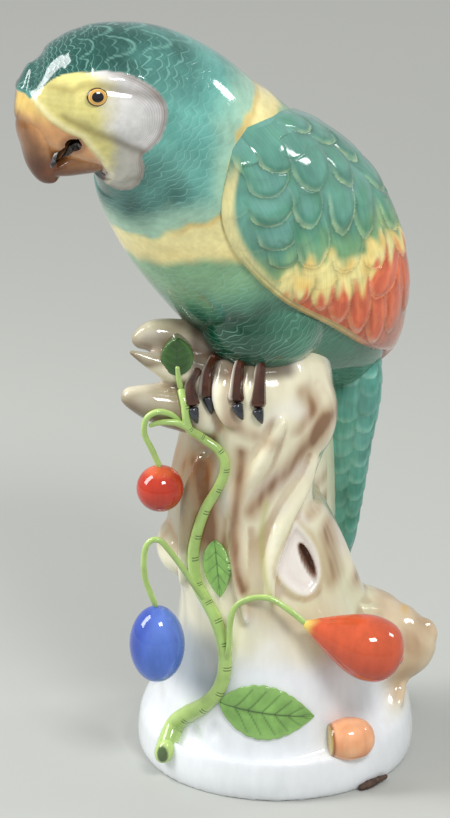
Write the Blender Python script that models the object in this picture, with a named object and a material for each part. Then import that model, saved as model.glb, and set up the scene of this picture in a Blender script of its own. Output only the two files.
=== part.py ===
"""Porcelain parrot perched on a tree stump, cast and luted as one piece.

Run with: blender --background --python part.py. Metres, +Z up. The origin is the
centre of the flat underside of the base, and the parrot looks towards -X.
"""

import math

import bmesh
import bpy
from mathutils import Matrix, Vector
from mathutils.bvhtree import BVHTree

# All sizes below are in millimetres, laid out for a figurine of LAYOUT_HEIGHT. Each mesh is
# scaled once it is made, to metres and to the figurine's own height.
LAYOUT_HEIGHT = 389.4
HEIGHT = 389.4
MM = 0.001 * HEIGHT / LAYOUT_HEIGHT

# A station of a lofted form is x, y, z of its centre, half width, half height and yaw.
# Base and stump, from the underside up.
BASE_RADIUS = 71.0
FOOT_BEVEL = 2.0
STUMP_STATIONS = [
    (0, 0, 0, BASE_RADIUS - FOOT_BEVEL, BASE_RADIUS - FOOT_BEVEL, 90),
    (0, 0, 5, BASE_RADIUS, BASE_RADIUS, 90),
    (0, 0, 16, BASE_RADIUS, BASE_RADIUS, 90),
    (0, 0, 28, BASE_RADIUS - 3, BASE_RADIUS - 3, 90),
    (-1, -3, 40, 59, 60, 90),
    (-1, -6, 54, 53, 54, 90),
    (-3, -8, 75, 49, 46, 90),
    (-7, -8, 98, 44, 43, 90),
    (-13, -6, 120, 41, 41, 90),
    (-17, -6, 138, 37, 39, 90),
    (-14, -6, 160, 35, 37, 90),
    (-9, -7, 180, 36, 39, 90),
    (-8, -8, 198, 35, 41, 90),
    (-9, -8, 213, 31, 37, 90),
    (-10, -8, 224, 20, 26, 90),
]
FIRST_BARK_STATION = 5
BARK_RIDGES = ((3, 1.1, 0.030), (7, -0.8, 0.018))
VENT_RADIUS = 4.0
VENT_DEPTH = 30.0
VENT_PLACE = (0, 38)

# Broken root at the right of the stump, and the three splinters of a broken branch.
ROOT_STATIONS = [
    (12, -4, 56, 34, 34, 0),
    (38, -3, 58, 29, 31, 0),
    (54, -2, 58, 24, 27, 0),
    (66, -2, 59, 19, 21, 0),
    (75, -2, 62, 12, 15, 0),
    (79, -2, 64, 5, 7, 0),
]
SPLINTERS = {
    "splinter_upper": [
        (-16, -10, 212, 16, 17, 20),
        (-42, -20, 224, 11, 12, 20),
        (-60, -27, 230, 8, 9, 20),
        (-69, -30, 229, 4, 5, 20),
    ],
    "splinter_middle": [
        (-20, -20, 206, 13, 13, 20),
        (-46, -32, 214, 8, 9, 20),
        (-60, -37, 220, 5, 5, 20),
        (-71, -40, 226, 2, 2, 20),
    ],
    "splinter_lower": [
        (-12, -16, 186, 20, 18, 20),
        (-40, -28, 193, 15, 13, 20),
        (-60, -36, 199, 11, 10, 20),
        (-74, -40, 204, 5, 5, 20),
    ],
}
# Swellings of the stump: centre and half sizes.
SWELLINGS = {
    "swelling_right": ((10, -16, 188), (20, 24, 27)),
    "swelling_left": ((-45, -8, 114), (16, 24, 16)),
    "swelling_front": ((-16, -26, 150), (17, 20, 40)),
}
KNOT_PLACE = (13, 117)
KNOT_HALF = (5, 14)
KNOT_RIM = 3.0
KNOT_RIM_SPREAD = 1.0
KNOT_RIM_POINTS = 12
KNOT_DEPTH = 9.0
# The ends of a tube are joined to its wall over less than this.
CAP_GAP = 0.01
# Where the front of the bark is looked for when nothing stands behind a place.
FRONT_Y = -30.0

# Bird, from the rump up the back to the forehead.
BIRD_STATIONS = [
    (41, 44, 188, 12, 12, 46),
    (35, 39, 200, 23, 23, 46),
    (26.6, 31.6, 217.6, 34, 36, 46),
    (12.2, 18.2, 244.4, 44, 51.2, 45),
    (-7.5, 1.4, 272.5, 49, 57.5, 43),
    (-27.4, -16.2, 297.3, 49, 54.5, 40),
    (-42.3, -28.5, 319.1, 45, 49.8, 34),
    (-54, -38, 338, 39, 43, 26),
    (-67, -45, 350, 34, 38.5, 18),
    (-80, -50, 355, 32, 35, 14),
    (-93, -53, 356, 30, 32, 12),
    (-104, -55, 356, 24.5, 28.5, 12),
    (-113.5, -56.5, 358.3, 17.5, 21.8, 12),
    (-119, -57, 359.3, 9.5, 13.8, 12),
]
TAIL_STATIONS = [
    (34, 38, 212, 20, 14, 46),
    (37, 36, 195, 20, 12, 46),
    (36.5, 36, 180, 20.5, 11, 46),
    (33.5, 38.5, 158, 20, 10, 46),
    (32, 41.5, 135, 18.5, 9, 46),
    (31.5, 44.5, 112, 15.5, 7.5, 46),
    (33, 47.5, 95, 11, 6, 46),
    (36, 50, 85, 5, 3, 46),
]
TAIL_BARBS = 0.07
UPPER_BEAK_STATIONS = [
    (-98, -55.5, 352, 17, 16, 12),
    (-106, -56.5, 348.5, 17.5, 16, 12),
    (-111.5, -57, 342.5, 15.5, 12.5, 12),
    (-112.5, -57, 334.5, 12.5, 8.8, 12),
    (-111, -57, 326.5, 8.5, 8, 12),
    (-108.8, -57, 320.5, 6, 6, 12),
    (-105, -57, 317.5, 3, 3, 12),
]
LOWER_BEAK_STATIONS = [
    (-84, -55, 330, 13, 9, 12),
    (-93, -56, 327.5, 12, 8, 12),
    (-100.5, -56.5, 324, 9, 5.5, 12),
    (-106, -57, 321.5, 5.5, 3, 12),
    (-109, -57, 319.5, 2, 1.5, 12),
]
MOUTH_PLACE = (-102.7, -57, 333.2)
MOUTH_HALF = (10.5, 2.3)
MOUTH_CORNER_RADIUS = 3.6
MOUTH_CORNER_BACK = 5.9
MOUTH_SLOPE = 59
MOUTH_CUT = 50
TONGUE_HALF = (7, 4, 1.8)
TONGUE_PLACE = (-1, 0, -2.4)
HEAD_YAW = 12
# Station, bearing and half sizes (along the head, round it, outwards) on both sides.
# A bearing is 0 on the near side, 90 on the back and 180 on the far side.
EYE = (9.78, 12, 4.6, 4.6, 3.2)
CHEEKS = {"cheek": (9.25, 9, 23, 19, 4.0), "jowl": (8.1, -42, 11, 10, 5.0)}
THIGHS = {
    "thigh_near": ((-8, -22, 236), (30, 26, 24)),
    "thigh_far": ((-38, 2, 250), (24, 24, 26)),
}

# Wing outline on the bird: station, bearing of the front edge and of the back edge, and
# how far the wing stands off the bird towards each of them.
WING_ROWS = [
    (6.7, 12, 26, 3, 0.5),
    (6.4, -5, 41, 5, 0.5),
    (6.0, -20, 53, 6, 0.5),
    (5.5, -29, 68, 6, 1.2),
    (4.95, -33, 82, 6, 2.6),
    (4.3, -33, 86, 6, 4.6),
    (3.8, -31, 87, 6, 7),
    (3.2, -26, 87, 6, 8),
    (2.5, -20, 84, 6, 8),
    (1.9, -10, 76, 6, 7.3),
    (1.4, 4, 66, 5.5, 6),
    (0.95, 18, 58, 5, 5),
    (0.15, 33, 51, 3, 3),
]
WING_EDGE_LIFT = 0.8
WING_SINK = 5.0
WING_EDGE = 4
WING_POINTS = 9
# Coverts: station of the row, first bearing, step between bearings, how many, half sizes.
COVERT_ROWS = [
    (6.1, 2, 28, 2, 12, 11),
    (5.6, -13, 26, 3, 13, 12),
    (5.05, -23, 27, 4, 13.5, 12),
    (4.5, -12, 26, 4, 13.5, 11.5),
    (3.95, -22, 25, 4, 13.5, 11),
    (3.4, -10, 24, 4, 14, 10.5),
]
COVERT_THICK = 2.6
FEATHER_TILT = 8
# Step between the stations that show which way the skin runs.
AIM_STEP = 0.1
FLIGHT_ROWS = [(2.75, -16, 16.5, 6, 22, 8), (1.95, 2, 17, 4, 20, 7.5)]
FLIGHT_THICK = 3.2

# Web of clay that holds the tail to the stump.
STRUT_STATIONS = [
    (22, 22, 108, 21, 3.5, -26),
    (22, 22, 118, 21, 4.5, -26),
    (22, 22, 150, 21, 4.5, -26),
    (22, 22, 164, 21, 3.0, -26),
]

# Toes over the edge of the stump, as x and z down its front, and their thicknesses.
TOES = {
    "toe_1": [(-36, 217), (-40, 209), (-40, 199)],
    "toe_2": [(-30, 221), (-33.5, 214), (-34, 203)],
    "toe_3": [(-16, 223), (-19, 217), (-20, 203)],
    "toe_4": [(-8, 222), (-10, 216), (-11, 201)],
}
TOE_RADII = (2.6, 3.0, 4.2)
TOE_LIFT = 1.5
CLAW_DROP = (3.0, -8.0)
CLAW_RADII = (3.4, 2.6, 0.6)
CLAW_LIFTS = (2.0, 1.0)

# Vine up the front of the stump, as x and z on the bark, from its cut end to its top.
VINE = [
    (-55, 16),
    (-50, 26),
    (-43.5, 35),
    (-35, 43),
    (-28, 53),
    (-25, 66),
    (-26, 78),
    (-29.5, 89),
    (-34, 97),
    (-39, 106),
    (-41, 120),
    (-39.5, 132),
    (-35, 145),
    (-28, 157),
    (-25, 167),
    (-28, 176),
    (-38, 184),
    (-44, 190),
    (-46, 200),
    (-47.5, 208),
]
VINE_RADII = (3.9, 1.8)
CUT_END_RADIUS = 4.6
STEM_RADIUS = 1.5
# How far a stem runs into its fruit.
STEM_OVERLAP = 1.0
# Stems as steps (x, y, z) from the vine point that they leave.
CHERRY_JOINT = 16
CHERRY_STEM = [
    (0, 0, 0),
    (-9, -3, 9),
    (-15, -6, 14),
    (-21, -8, 15.5),
    (-26, -8, 12),
    (-27, -7, 4),
    (-23, -5, -6),
    (-19.7, -4, -14.8),
]
CHERRY_RADIUS = 11.6
PLUM_JOINT = 8
PLUM_STEM = [
    (0, 0, 0),
    (-6, -3, 10),
    (-12, -6, 21),
    (-18, -9, 31),
    (-23, -10, 37),
    (-28, -10, 36),
    (-30.5, -10, 29),
    (-30, -9, 16),
    (-24.5, -8, 0),
]
PLUM_HALF = (13.8, 13.8, 20.0)
PEAR_JOINT = 5
PEAR_STEM = [
    (0, 0, 0),
    (2, -4, 12),
    (2.5, -4, 24),
    (5, -4, 33),
    (12, -5, 38),
    (22, -6, 38.5),
    (31, -8, 33.5),
    (40, -9, 26),
]
# Pear-shaped fruit: distance along its axis and radius.
PEAR_PROFILE = [
    (0, 1.8),
    (6, 5.2),
    (15, 10.0),
    (26, 14.8),
    (35, 16.4),
    (44, 14.6),
    (49.5, 9.0),
    (51.5, 2.5),
]
PEAR_SLOPE = -22
NUT_PLACE = (36, 25)
NUT_PROFILE = [(0, 7.6), (1.5, 8.6), (7, 10.6), (12, 10.8), (18, 9.4), (22, 5.5), (23, 1.5)]
NUT_YAW = -12
NUT_LIFT = 4.0

# Leaves lying on the bark: base and tip as x and z, half width, and how far one that
# bridges the splinters is set back instead of following them.
LEAVES = {
    "leaf_top": ((-49, 218), (-49, 240), 8.2, 3.0),
    "leaf_middle": ((-31, 129), (-28, 101), 6.4, 0),
    "leaf_base": ((-28, 46), (18, 41), 13.5, 0),
}
LEAF_THICK = 2.2
LEAF_TEETH = 5
LEAF_TOOTH = 0.1
# A leaf's widest place lies nearer its base the lower this is, and its ends keep some width.
LEAF_FULLNESS = 0.75
LEAF_END_WIDTH = 0.05
# Share of the thickness that stands proud at the edges, and how much the middle sinks.
LEAF_PROUD = 0.6
LEAF_FOLD = 0.5

TEAL = (0.06, 0.32, 0.25)
GREEN = (0.10, 0.34, 0.20)
RED = (0.72, 0.12, 0.06)
YELLOW = (0.80, 0.66, 0.25)
GREY = (0.52, 0.49, 0.46)
HORN = (0.72, 0.32, 0.12)
BARK = (0.66, 0.55, 0.42)
WHITE = (0.76, 0.78, 0.80)
VINE_GREEN = (0.37, 0.58, 0.13)
LEAF_GREEN = (0.13, 0.30, 0.07)
BROWN = (0.15, 0.03, 0.01)
CLAW_BLACK = (0.02, 0.025, 0.035)
CHERRY_RED = (0.55, 0.06, 0.03)
PLUM_BLUE = (0.06, 0.11, 0.52)
NUT_ORANGE = (0.80, 0.36, 0.16)


def spline(points, at):
    """The point at a place along a list of rows, by a Catmull-Rom curve through them."""
    last = len(points) - 1
    first = min(int(at), last - 1)
    t = at - first
    rows = [points[min(max(first + step, 0), last)] for step in (-1, 0, 1, 2)]
    curve = []
    for p, q, r, s in zip(*rows):
        slope = r - p
        bend = 2 * p - 5 * q + 4 * r - s
        twist = 3 * q - p - 3 * r + s
        curve.append(q + 0.5 * (slope * t + bend * t**2 + twist * t**3))
    return curve


def station_frame(stations, at):
    """Centre, across, up, half width and half height of a loft at a place along it."""
    x, y, z, half_width, half_height, yaw = spline(stations, at)
    step = 0.05
    ahead = Vector(spline(stations, min(at + step, len(stations) - 1))[:3])
    behind = Vector(spline(stations, max(at - step, 0))[:3])
    along = (ahead - behind).normalized()
    turn = math.radians(yaw)
    up = along.cross(Vector((math.sin(turn), -math.cos(turn), 0))).normalized()
    across = up.cross(along)
    return Vector((x, y, z)), across, up, half_width, half_height


def bird_skin(at, bearing, lift=0.0):
    """A point on the bird at a station and a bearing, and the way out of the skin there."""
    centre, across, up, half_width, half_height = station_frame(BIRD_STATIONS, at)
    turn = math.radians(bearing)
    flat = across * (half_width * math.cos(turn)) + up * (half_height * math.sin(turn))
    out = across * (half_height * math.cos(turn)) + up * (half_width * math.sin(turn))
    out.normalize()
    return centre + flat + out * lift, out


def glaze(name, colour):
    """A glossy painted glaze."""
    material = bpy.data.materials.new(name)
    material.use_nodes = True
    shader = material.node_tree.nodes["Principled BSDF"]
    shader.inputs["Base Color"].default_value = (*colour, 1)
    shader.inputs["Roughness"].default_value = 0.12
    material.diffuse_color = (*colour, 1)
    return material


def make(name, bm, material, forms):
    """An object from a closed mesh in millimetres, put into the collection of forms."""
    bmesh.ops.scale(bm, vec=(MM, MM, MM), verts=bm.verts)
    bmesh.ops.recalc_face_normals(bm, faces=bm.faces)
    mesh = bpy.data.meshes.new(name)
    bm.to_mesh(mesh)
    bm.free()
    mesh.materials.append(material)
    obj = bpy.data.objects.new(name, mesh)
    forms.objects.link(obj)
    return obj


def bridge_rings(bm, rings):
    """Joins rings of points one to the next, and closes both ends."""
    edges = [list({edge for vert in ring for edge in vert.link_edges}) for ring in rings]
    for near, far in zip(edges, edges[1:]):
        bmesh.ops.bridge_loops(bm, edges=near + far)
    bmesh.ops.holes_fill(bm, edges=[edge for edge in bm.edges if edge.is_boundary], sides=0)


def loft(name, stations, sides, count, material, forms, shape=None):
    """A form through elliptical stations; shape(angle, at) scales a point's reach."""
    bm = bmesh.new()
    rings = []
    for number in range(count + 1):
        at = (len(stations) - 1) * number / count
        centre, across, up, half_width, half_height = station_frame(stations, at)
        ring = bmesh.ops.create_circle(bm, segments=sides, radius=1)["verts"]
        for vert in ring:
            reach = shape(math.atan2(vert.co.y, vert.co.x), at) if shape else 1.0
            flat = across * (half_width * vert.co.x) + up * (half_height * vert.co.y)
            vert.co = centre + reach * flat
        rings.append(ring)
    bridge_rings(bm, rings)
    return make(name, bm, material, forms)


def ellipsoid(name, centre, half, material, forms, turn=None, sides=12, rows=8):
    """A rounded swelling, turned by a rotation matrix."""
    bm = bmesh.new()
    place = Matrix.Translation(centre) @ (turn or Matrix.Identity(4)) @ Matrix.Diagonal((*half, 1))
    bmesh.ops.create_uvsphere(bm, u_segments=sides, v_segments=rows, radius=1, matrix=place)
    return make(name, bm, material, forms)


def axes_matrix(first, second, third):
    """The rotation that takes X, Y and Z to three axes."""
    return Matrix((first, second, third)).transposed().to_4x4()


def tube(name, points, radii, material, forms, samples=None):
    """A round tube along a smooth route; its radius runs through the given radii."""
    samples = samples or 2 * (len(points) - 1)
    curve = bpy.data.curves.new(name, "CURVE")
    curve.dimensions = "3D"
    curve.bevel_depth = MM
    curve.bevel_resolution = 1
    curve.use_fill_caps = True
    line = curve.splines.new("POLY")
    line.use_cyclic_u = points[0] == points[-1]
    line.points.add(samples - line.use_cyclic_u)
    for number, point in enumerate(line.points):
        share = number / samples
        x, y, z = spline(points, share * (len(points) - 1))
        point.co = (x * MM, y * MM, z * MM, 1)
        point.radius = spline([(radius,) for radius in radii], share * (len(radii) - 1))[0]
    guide = bpy.data.objects.new(name, curve)
    bpy.context.scene.collection.objects.link(guide)
    mesh = bpy.data.meshes.new_from_object(guide.evaluated_get(bpy.context.evaluated_depsgraph_get()))
    bpy.data.objects.remove(guide)
    bm = bmesh.new()
    bm.from_mesh(mesh)
    bmesh.ops.remove_doubles(bm, verts=bm.verts, dist=CAP_GAP * MM)
    bm.to_mesh(mesh)
    bm.free()
    mesh.materials.clear()
    mesh.materials.append(material)
    obj = bpy.data.objects.new(name, mesh)
    forms.objects.link(obj)
    return obj


def make_seat(forms):
    """A function that finds the front of the forms at x and z, and the way out of it there."""
    bm = bmesh.new()
    for obj in forms:
        bm.from_mesh(obj.data)
    tree = BVHTree.FromBMesh(bm)
    bm.free()

    def seat(x, z, lift=0.0):
        start = Vector((x * MM, -1, z * MM))
        place, out, _, _ = tree.ray_cast(start, Vector((0, 1, 0)))
        if place is None:
            place, out, _, _ = tree.find_nearest(Vector((x, FRONT_Y, z)) * MM)
        return place / MM + out * lift

    return seat


def bark(angle, at):
    """Ridges that wind up the stump and leave the base round."""
    fade = min(max(at - FIRST_BARK_STATION, 0), 1)
    ridges = (depth * math.sin(count * angle + twist * at) for count, twist, depth in BARK_RIDGES)
    return 1 + fade * sum(ridges)


def make_stump(forms):
    """Base, trunk, root, branch and swellings: the bark that everything else sits on."""
    material = glaze("bark_glaze", BARK)
    made = [loft("trunk", STUMP_STATIONS, 28, 20, material, forms, bark)]
    made.append(loft("root", ROOT_STATIONS, 14, 6, material, forms))
    for name, stations in SPLINTERS.items():
        made.append(loft(name, stations, 8, 4, material, forms))
    for name, (centre, half) in SWELLINGS.items():
        made.append(ellipsoid(name, centre, half, material, forms))
    return made


def make_knot(seat, forms, cutters):
    """The knot hole: a raised lip round a slit."""
    material = glaze("knot_glaze", WHITE)
    x, z = KNOT_PLACE
    half_x, half_z = KNOT_HALF
    lip = []
    for number in range(KNOT_RIM_POINTS + 1):
        turn = math.tau * number / KNOT_RIM_POINTS
        across = (half_x + KNOT_RIM_SPREAD) * math.cos(turn)
        upward = (half_z + KNOT_RIM_SPREAD) * math.sin(turn)
        lip.append(seat(x + across, z + upward))
    tube("knot_lip", lip, (KNOT_RIM, KNOT_RIM), material, forms, KNOT_RIM_POINTS)
    ellipsoid("knot_hollow", seat(x, z), (half_x, KNOT_DEPTH, half_z), material, cutters, sides=10, rows=6)


def make_strut(forms):
    """The web between tail and stump."""
    loft("tail_web", STRUT_STATIONS, 12, 4, glaze("white_glaze", WHITE), forms)


def barbs(angle, at):
    """Quills along the tail."""
    return 1 + TAIL_BARBS * abs(math.sin(2.5 * angle))


def make_bird(forms):
    """Body, neck and head in one form, with thighs and tail."""
    teal = glaze("teal_glaze", TEAL)
    loft("bird", BIRD_STATIONS, 24, 20, teal, forms)
    loft("tail", TAIL_STATIONS, 20, 9, teal, forms, barbs)
    for name, (centre, half) in THIGHS.items():
        ellipsoid(name, centre, half, teal, forms)


def on_both_sides(name, place, material, forms, sides, rows):
    """An oval swelling on the near side of the head and its twin on the far side."""
    at, bearing, half_long, half_round, half_out = place
    for side, angle in (("near", bearing), ("far", 180 - bearing)):
        point, out = bird_skin(at, angle)
        behind, ahead = (bird_skin(at + step, angle)[0] for step in (-AIM_STEP, AIM_STEP))
        along = (ahead - behind).normalized()
        turn = axes_matrix(along, out.cross(along), out)
        half = (half_long, half_round, half_out)
        ellipsoid(f"{name}_{side}", point, half, material, forms, turn, sides, rows)


def make_face(forms, cutters):
    """Cheeks, eyes, hooked beak, tongue and the open mouth."""
    horn = glaze("horn_glaze", HORN)
    for name, place in CHEEKS.items():
        on_both_sides(name, place, glaze(name + "_glaze", GREY), forms, 12, 6)
    on_both_sides("eye", EYE, glaze("eye_glaze", YELLOW), forms, 10, 6)
    loft("upper_beak", UPPER_BEAK_STATIONS, 16, 9, horn, forms)
    loft("lower_beak", LOWER_BEAK_STATIONS, 12, 6, horn, forms)
    for name, back, half in (
        ("mouth", 0, MOUTH_HALF),
        ("mouth_corner", MOUTH_CORNER_BACK, (MOUTH_CORNER_RADIUS, MOUTH_CORNER_RADIUS)),
    ):
        bm = bmesh.new()
        place = mouth_matrix() @ Matrix.Translation((back, 0, 0)) @ Matrix.Rotation(math.pi / 2, 4, "X")
        bmesh.ops.create_cone(
            bm, cap_ends=True, segments=12, radius1=1, radius2=1, depth=MOUTH_CUT,
            matrix=place @ Matrix.Diagonal((*half, 1, 1)),
        )
        make(name, bm, horn, cutters)


def mouth_matrix():
    """The place of the mouth, X along it towards its corner and Y through the head."""
    yaw = Matrix.Rotation(math.radians(HEAD_YAW), 4, "Z")
    slope = Matrix.Rotation(math.radians(-MOUTH_SLOPE), 4, "Y")
    return Matrix.Translation(MOUTH_PLACE) @ yaw @ slope


def make_tongue(forms):
    """The tongue, set in the mouth after it is cut."""
    ellipsoid("tongue", TONGUE_PLACE, TONGUE_HALF, glaze("tongue_glaze", HORN), forms, mouth_matrix(), 10, 5)


def wing_row(at):
    """The wing's front and back bearing at a station, and how far it stands off towards each."""
    for (high, *upper), (low, *lower) in zip(WING_ROWS, WING_ROWS[1:]):
        if low <= at <= high:
            share = (high - at) / (high - low)
            return [first + share * (second - first) for first, second in zip(upper, lower)]
    return WING_ROWS[-1][1:]


def wing_lift(at, share):
    """How far the wing stands off the body at a station, by the share across it from -1 to 1."""
    _, _, front_lift, back_lift = wing_row(at)
    share = min(max(share, -1), 1)
    lift = front_lift + (back_lift - front_lift) * (share + 1) / 2
    return WING_EDGE_LIFT + lift * (1 - abs(share) ** WING_EDGE) ** 0.5


def make_wing(side, mirror, forms):
    """One folded wing: a shell over the body with rows of coverts and flight feathers."""
    green = glaze(f"wing_glaze_{side}", GREEN)
    red = glaze(f"flight_glaze_{side}", RED)
    bm = bmesh.new()
    rings = []
    for at, front, back, _, _ in WING_ROWS:
        ring = bmesh.ops.create_circle(bm, segments=2 * WING_POINTS, radius=1)["verts"]
        for number, vert in enumerate(ring):
            outside = number < WING_POINTS
            step = number if outside else 2 * WING_POINTS - 1 - number
            share = -math.cos(math.pi * step / (WING_POINTS - 1))
            bearing = front + (back - front) * (share + 1) / 2
            lift = wing_lift(at, share) if outside else -WING_SINK
            vert.co = bird_skin(at, mirror(bearing), lift)[0]
        rings.append(ring)
    bridge_rings(bm, rings)
    make(f"wing_{side}", bm, green, forms)
    for row, (at, first, step, count, long, wide) in enumerate(COVERT_ROWS):
        for number in range(count):
            name = f"covert_{side}_{row}_{number}"
            place = (at, first + step * number)
            feather(name, place, (long, wide, COVERT_THICK), mirror, green, forms)
    for row, (at, first, step, count, long, wide) in enumerate(FLIGHT_ROWS):
        for number in range(count):
            name = f"flight_{side}_{row}_{number}"
            place = (at, first + step * number)
            feather(name, place, (long, wide, FLIGHT_THICK), mirror, red, forms)


def feather(name, place, half, mirror, material, forms):
    """One feather lying on the wing, its tip towards the tail and a little raised."""
    at, bearing = place
    front, back, _, _ = wing_row(at)
    lift = wing_lift(at, 2 * (bearing - front) / (back - front) - 1)
    point, out = bird_skin(at, mirror(bearing), lift)
    behind, ahead = (bird_skin(at + step, mirror(bearing), lift)[0] for step in (-AIM_STEP, AIM_STEP))
    tipwards = (behind - ahead).normalized()
    tilt = math.radians(FEATHER_TILT)
    long = tipwards * math.cos(tilt) + out * math.sin(tilt)
    wide = out.cross(long).normalized()
    ellipsoid(name, point, half, material, forms, axes_matrix(long, wide, long.cross(wide)), 8, 3)


def make_feet(seat, forms):
    """Toes over the rim of the stump, each with its claw."""
    brown = glaze("toe_glaze", BROWN)
    black = glaze("claw_glaze", CLAW_BLACK)
    for name, places in TOES.items():
        toe = [seat(x, z, TOE_LIFT) for x, z in places]
        tube(name, toe, TOE_RADII, brown, forms, 4)
        claw = [toe[-1]]
        for share, lift in zip((0.5, 1.0), CLAW_LIFTS):
            x, z = Vector(places[-1]) + Vector(CLAW_DROP) * share
            claw.append(seat(x, z, lift))
        tube(name + "_claw", claw, CLAW_RADII, black, forms, 3)


def make_vine(seat, forms):
    """The vine on the bark, its stems and its fruit."""
    green = glaze("vine_glaze", VINE_GREEN)
    vine = [seat(x, z, VINE_RADII[1]) for x, z in VINE]
    tube("vine", vine, VINE_RADII, green, forms, 30)
    ellipsoid("vine_cut_end", vine[0], (CUT_END_RADIUS,) * 3, green, forms, None, 10, 6)

    def stem(name, joint, steps):
        start = Vector(spline(vine, joint))
        route = [start + Vector(step) for step in steps]
        tube(name, route, (STEM_RADIUS, STEM_RADIUS), green, forms)
        return route[-1]

    end = stem("cherry_stem", CHERRY_JOINT, CHERRY_STEM)
    centre = end - Vector((0, 0, CHERRY_RADIUS - STEM_OVERLAP))
    ellipsoid("cherry", centre, (CHERRY_RADIUS,) * 3, glaze("cherry_glaze", CHERRY_RED), forms)
    end = stem("plum_stem", PLUM_JOINT, PLUM_STEM)
    centre = end - Vector((0, 0, PLUM_HALF[2] - STEM_OVERLAP))
    ellipsoid("plum", centre, PLUM_HALF, glaze("plum_glaze", PLUM_BLUE), forms)
    end = stem("pear_stem", PEAR_JOINT, PEAR_STEM)
    slope = math.radians(PEAR_SLOPE)
    axis = Vector((math.cos(slope), 0, math.sin(slope)))
    tip = end - axis * STEM_OVERLAP
    stations = [(*(tip + axis * far), radius, radius, 0) for far, radius in PEAR_PROFILE]
    loft("pear", stations, 14, 8, glaze("pear_glaze", RED), forms)


def make_nut(seat, forms):
    """The nut lying on the base."""
    turn = math.radians(NUT_YAW)
    axis = Vector((math.cos(turn), -math.sin(turn), 0))
    start = seat(*NUT_PLACE, NUT_LIFT) - axis * NUT_PROFILE[-1][0] / 2
    stations = [(*(start + axis * far), radius, radius, -NUT_YAW) for far, radius in NUT_PROFILE]
    loft("nut", stations, 14, 6, glaze("nut_glaze", NUT_ORANGE), forms)


def make_leaf(name, base, tip, half_width, set_back, seat, material, forms):
    """A toothed leaf pressed on the bark, or a flatter and thicker one bridging a hollow."""
    long_steps = 2 * LEAF_TEETH
    bm = bmesh.new()
    bmesh.ops.create_grid(bm, x_segments=long_steps, y_segments=2, size=0.5)
    top = bmesh.ops.extrude_face_region(bm, geom=list(bm.faces))["geom"]
    lifted = {item for item in top if isinstance(item, bmesh.types.BMVert)}
    base, tip = Vector(base), Vector(tip)
    side = (tip - base).orthogonal().normalized() * half_width
    base_y, tip_y = (seat(*end)[1] + set_back for end in (base, tip))
    for vert in bm.verts:
        share = vert.co.x + 0.5
        across = 2 * vert.co.y
        tooth = 1 + LEAF_TOOTH * (round(share * long_steps) % 2)
        width = max(math.sin(math.pi * share**LEAF_FULLNESS), LEAF_END_WIDTH) * tooth
        x, z = base + (tip - base) * share + side * across * width
        lift = LEAF_PROUD * LEAF_THICK * (1 - LEAF_FOLD * (1 - abs(across)) ** 2)
        if vert not in lifted:
            lift -= LEAF_THICK
        if set_back:
            depth = 2 * set_back if vert not in lifted else set_back * across**2 - set_back
            vert.co = (x, base_y + (tip_y - base_y) * share + depth, z)
        else:
            vert.co = seat(x, z, lift)
    make(name, bm, material, forms)


def join(forms, cutters, last_forms):
    """One solid of all the forms, with the hollows cut from it."""
    body = forms.objects["trunk"]
    forms.objects.unlink(body)
    bpy.context.scene.collection.objects.link(body)
    body.name = "parrot_figurine"
    for name, operation, others in (
        ("luted_forms", "UNION", forms),
        ("hollows", "DIFFERENCE", cutters),
        ("tongue_set_in", "UNION", last_forms),
    ):
        boolean = body.modifiers.new(name, "BOOLEAN")
        boolean.operation = operation
        boolean.operand_type = "COLLECTION"
        boolean.collection = others
        boolean.solver = "MANIFOLD"
        boolean.material_mode = "TRANSFER"
    for collection in (forms, cutters, last_forms):
        for obj in collection.objects:
            obj.hide_render = True
            obj.display_type = "WIRE"
    body.data.shade_smooth()


def main():
    """The whole figurine."""
    for old in list(bpy.data.objects):
        bpy.data.objects.remove(old)
    groups = []
    for name in ("forms", "hollows", "inner_forms"):
        group = bpy.data.collections.new(name)
        bpy.context.scene.collection.children.link(group)
        groups.append(group)
    forms, cutters, inner_forms = groups
    seat = make_seat(make_stump(forms))
    make_knot(seat, forms, cutters)
    make_strut(forms)
    make_bird(forms)
    make_face(forms, cutters)
    make_tongue(inner_forms)
    make_wing("near", lambda bearing: bearing, forms)
    make_wing("far", lambda bearing: 180 - bearing, forms)
    make_feet(seat, forms)
    make_vine(seat, forms)
    make_nut(seat, forms)
    leaf_glaze = glaze("leaf_glaze", LEAF_GREEN)
    for name, (base, tip, half_width, set_back) in LEAVES.items():
        make_leaf(name, base, tip, half_width, set_back, seat, leaf_glaze, forms)
    x, y = VENT_PLACE
    bm = bmesh.new()
    bmesh.ops.create_cone(
        bm, cap_ends=True, segments=16, radius1=VENT_RADIUS, radius2=VENT_RADIUS,
        depth=2 * VENT_DEPTH, matrix=Matrix.Translation((x, y, 0)),
    )
    make("vent", bm, glaze("vent_glaze", WHITE), cutters)
    join(forms, cutters, inner_forms)


main()
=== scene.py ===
"""Glazed porcelain parrot on a tree stump: the moulded detail and the hand-painted glazes.

Every piece is made by its own operator, listed in the sidebar of the 3D view. Forms are
worked out in millimetres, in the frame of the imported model, and written in metres.
"""

import functools
import math

import bmesh
import bpy
import numpy as np
from bpy.props import FloatProperty, FloatVectorProperty, IntProperty, PointerProperty
from mathutils import Matrix, Vector
from mathutils.bvhtree import BVHTree
from mathutils.kdtree import KDTree


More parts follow.
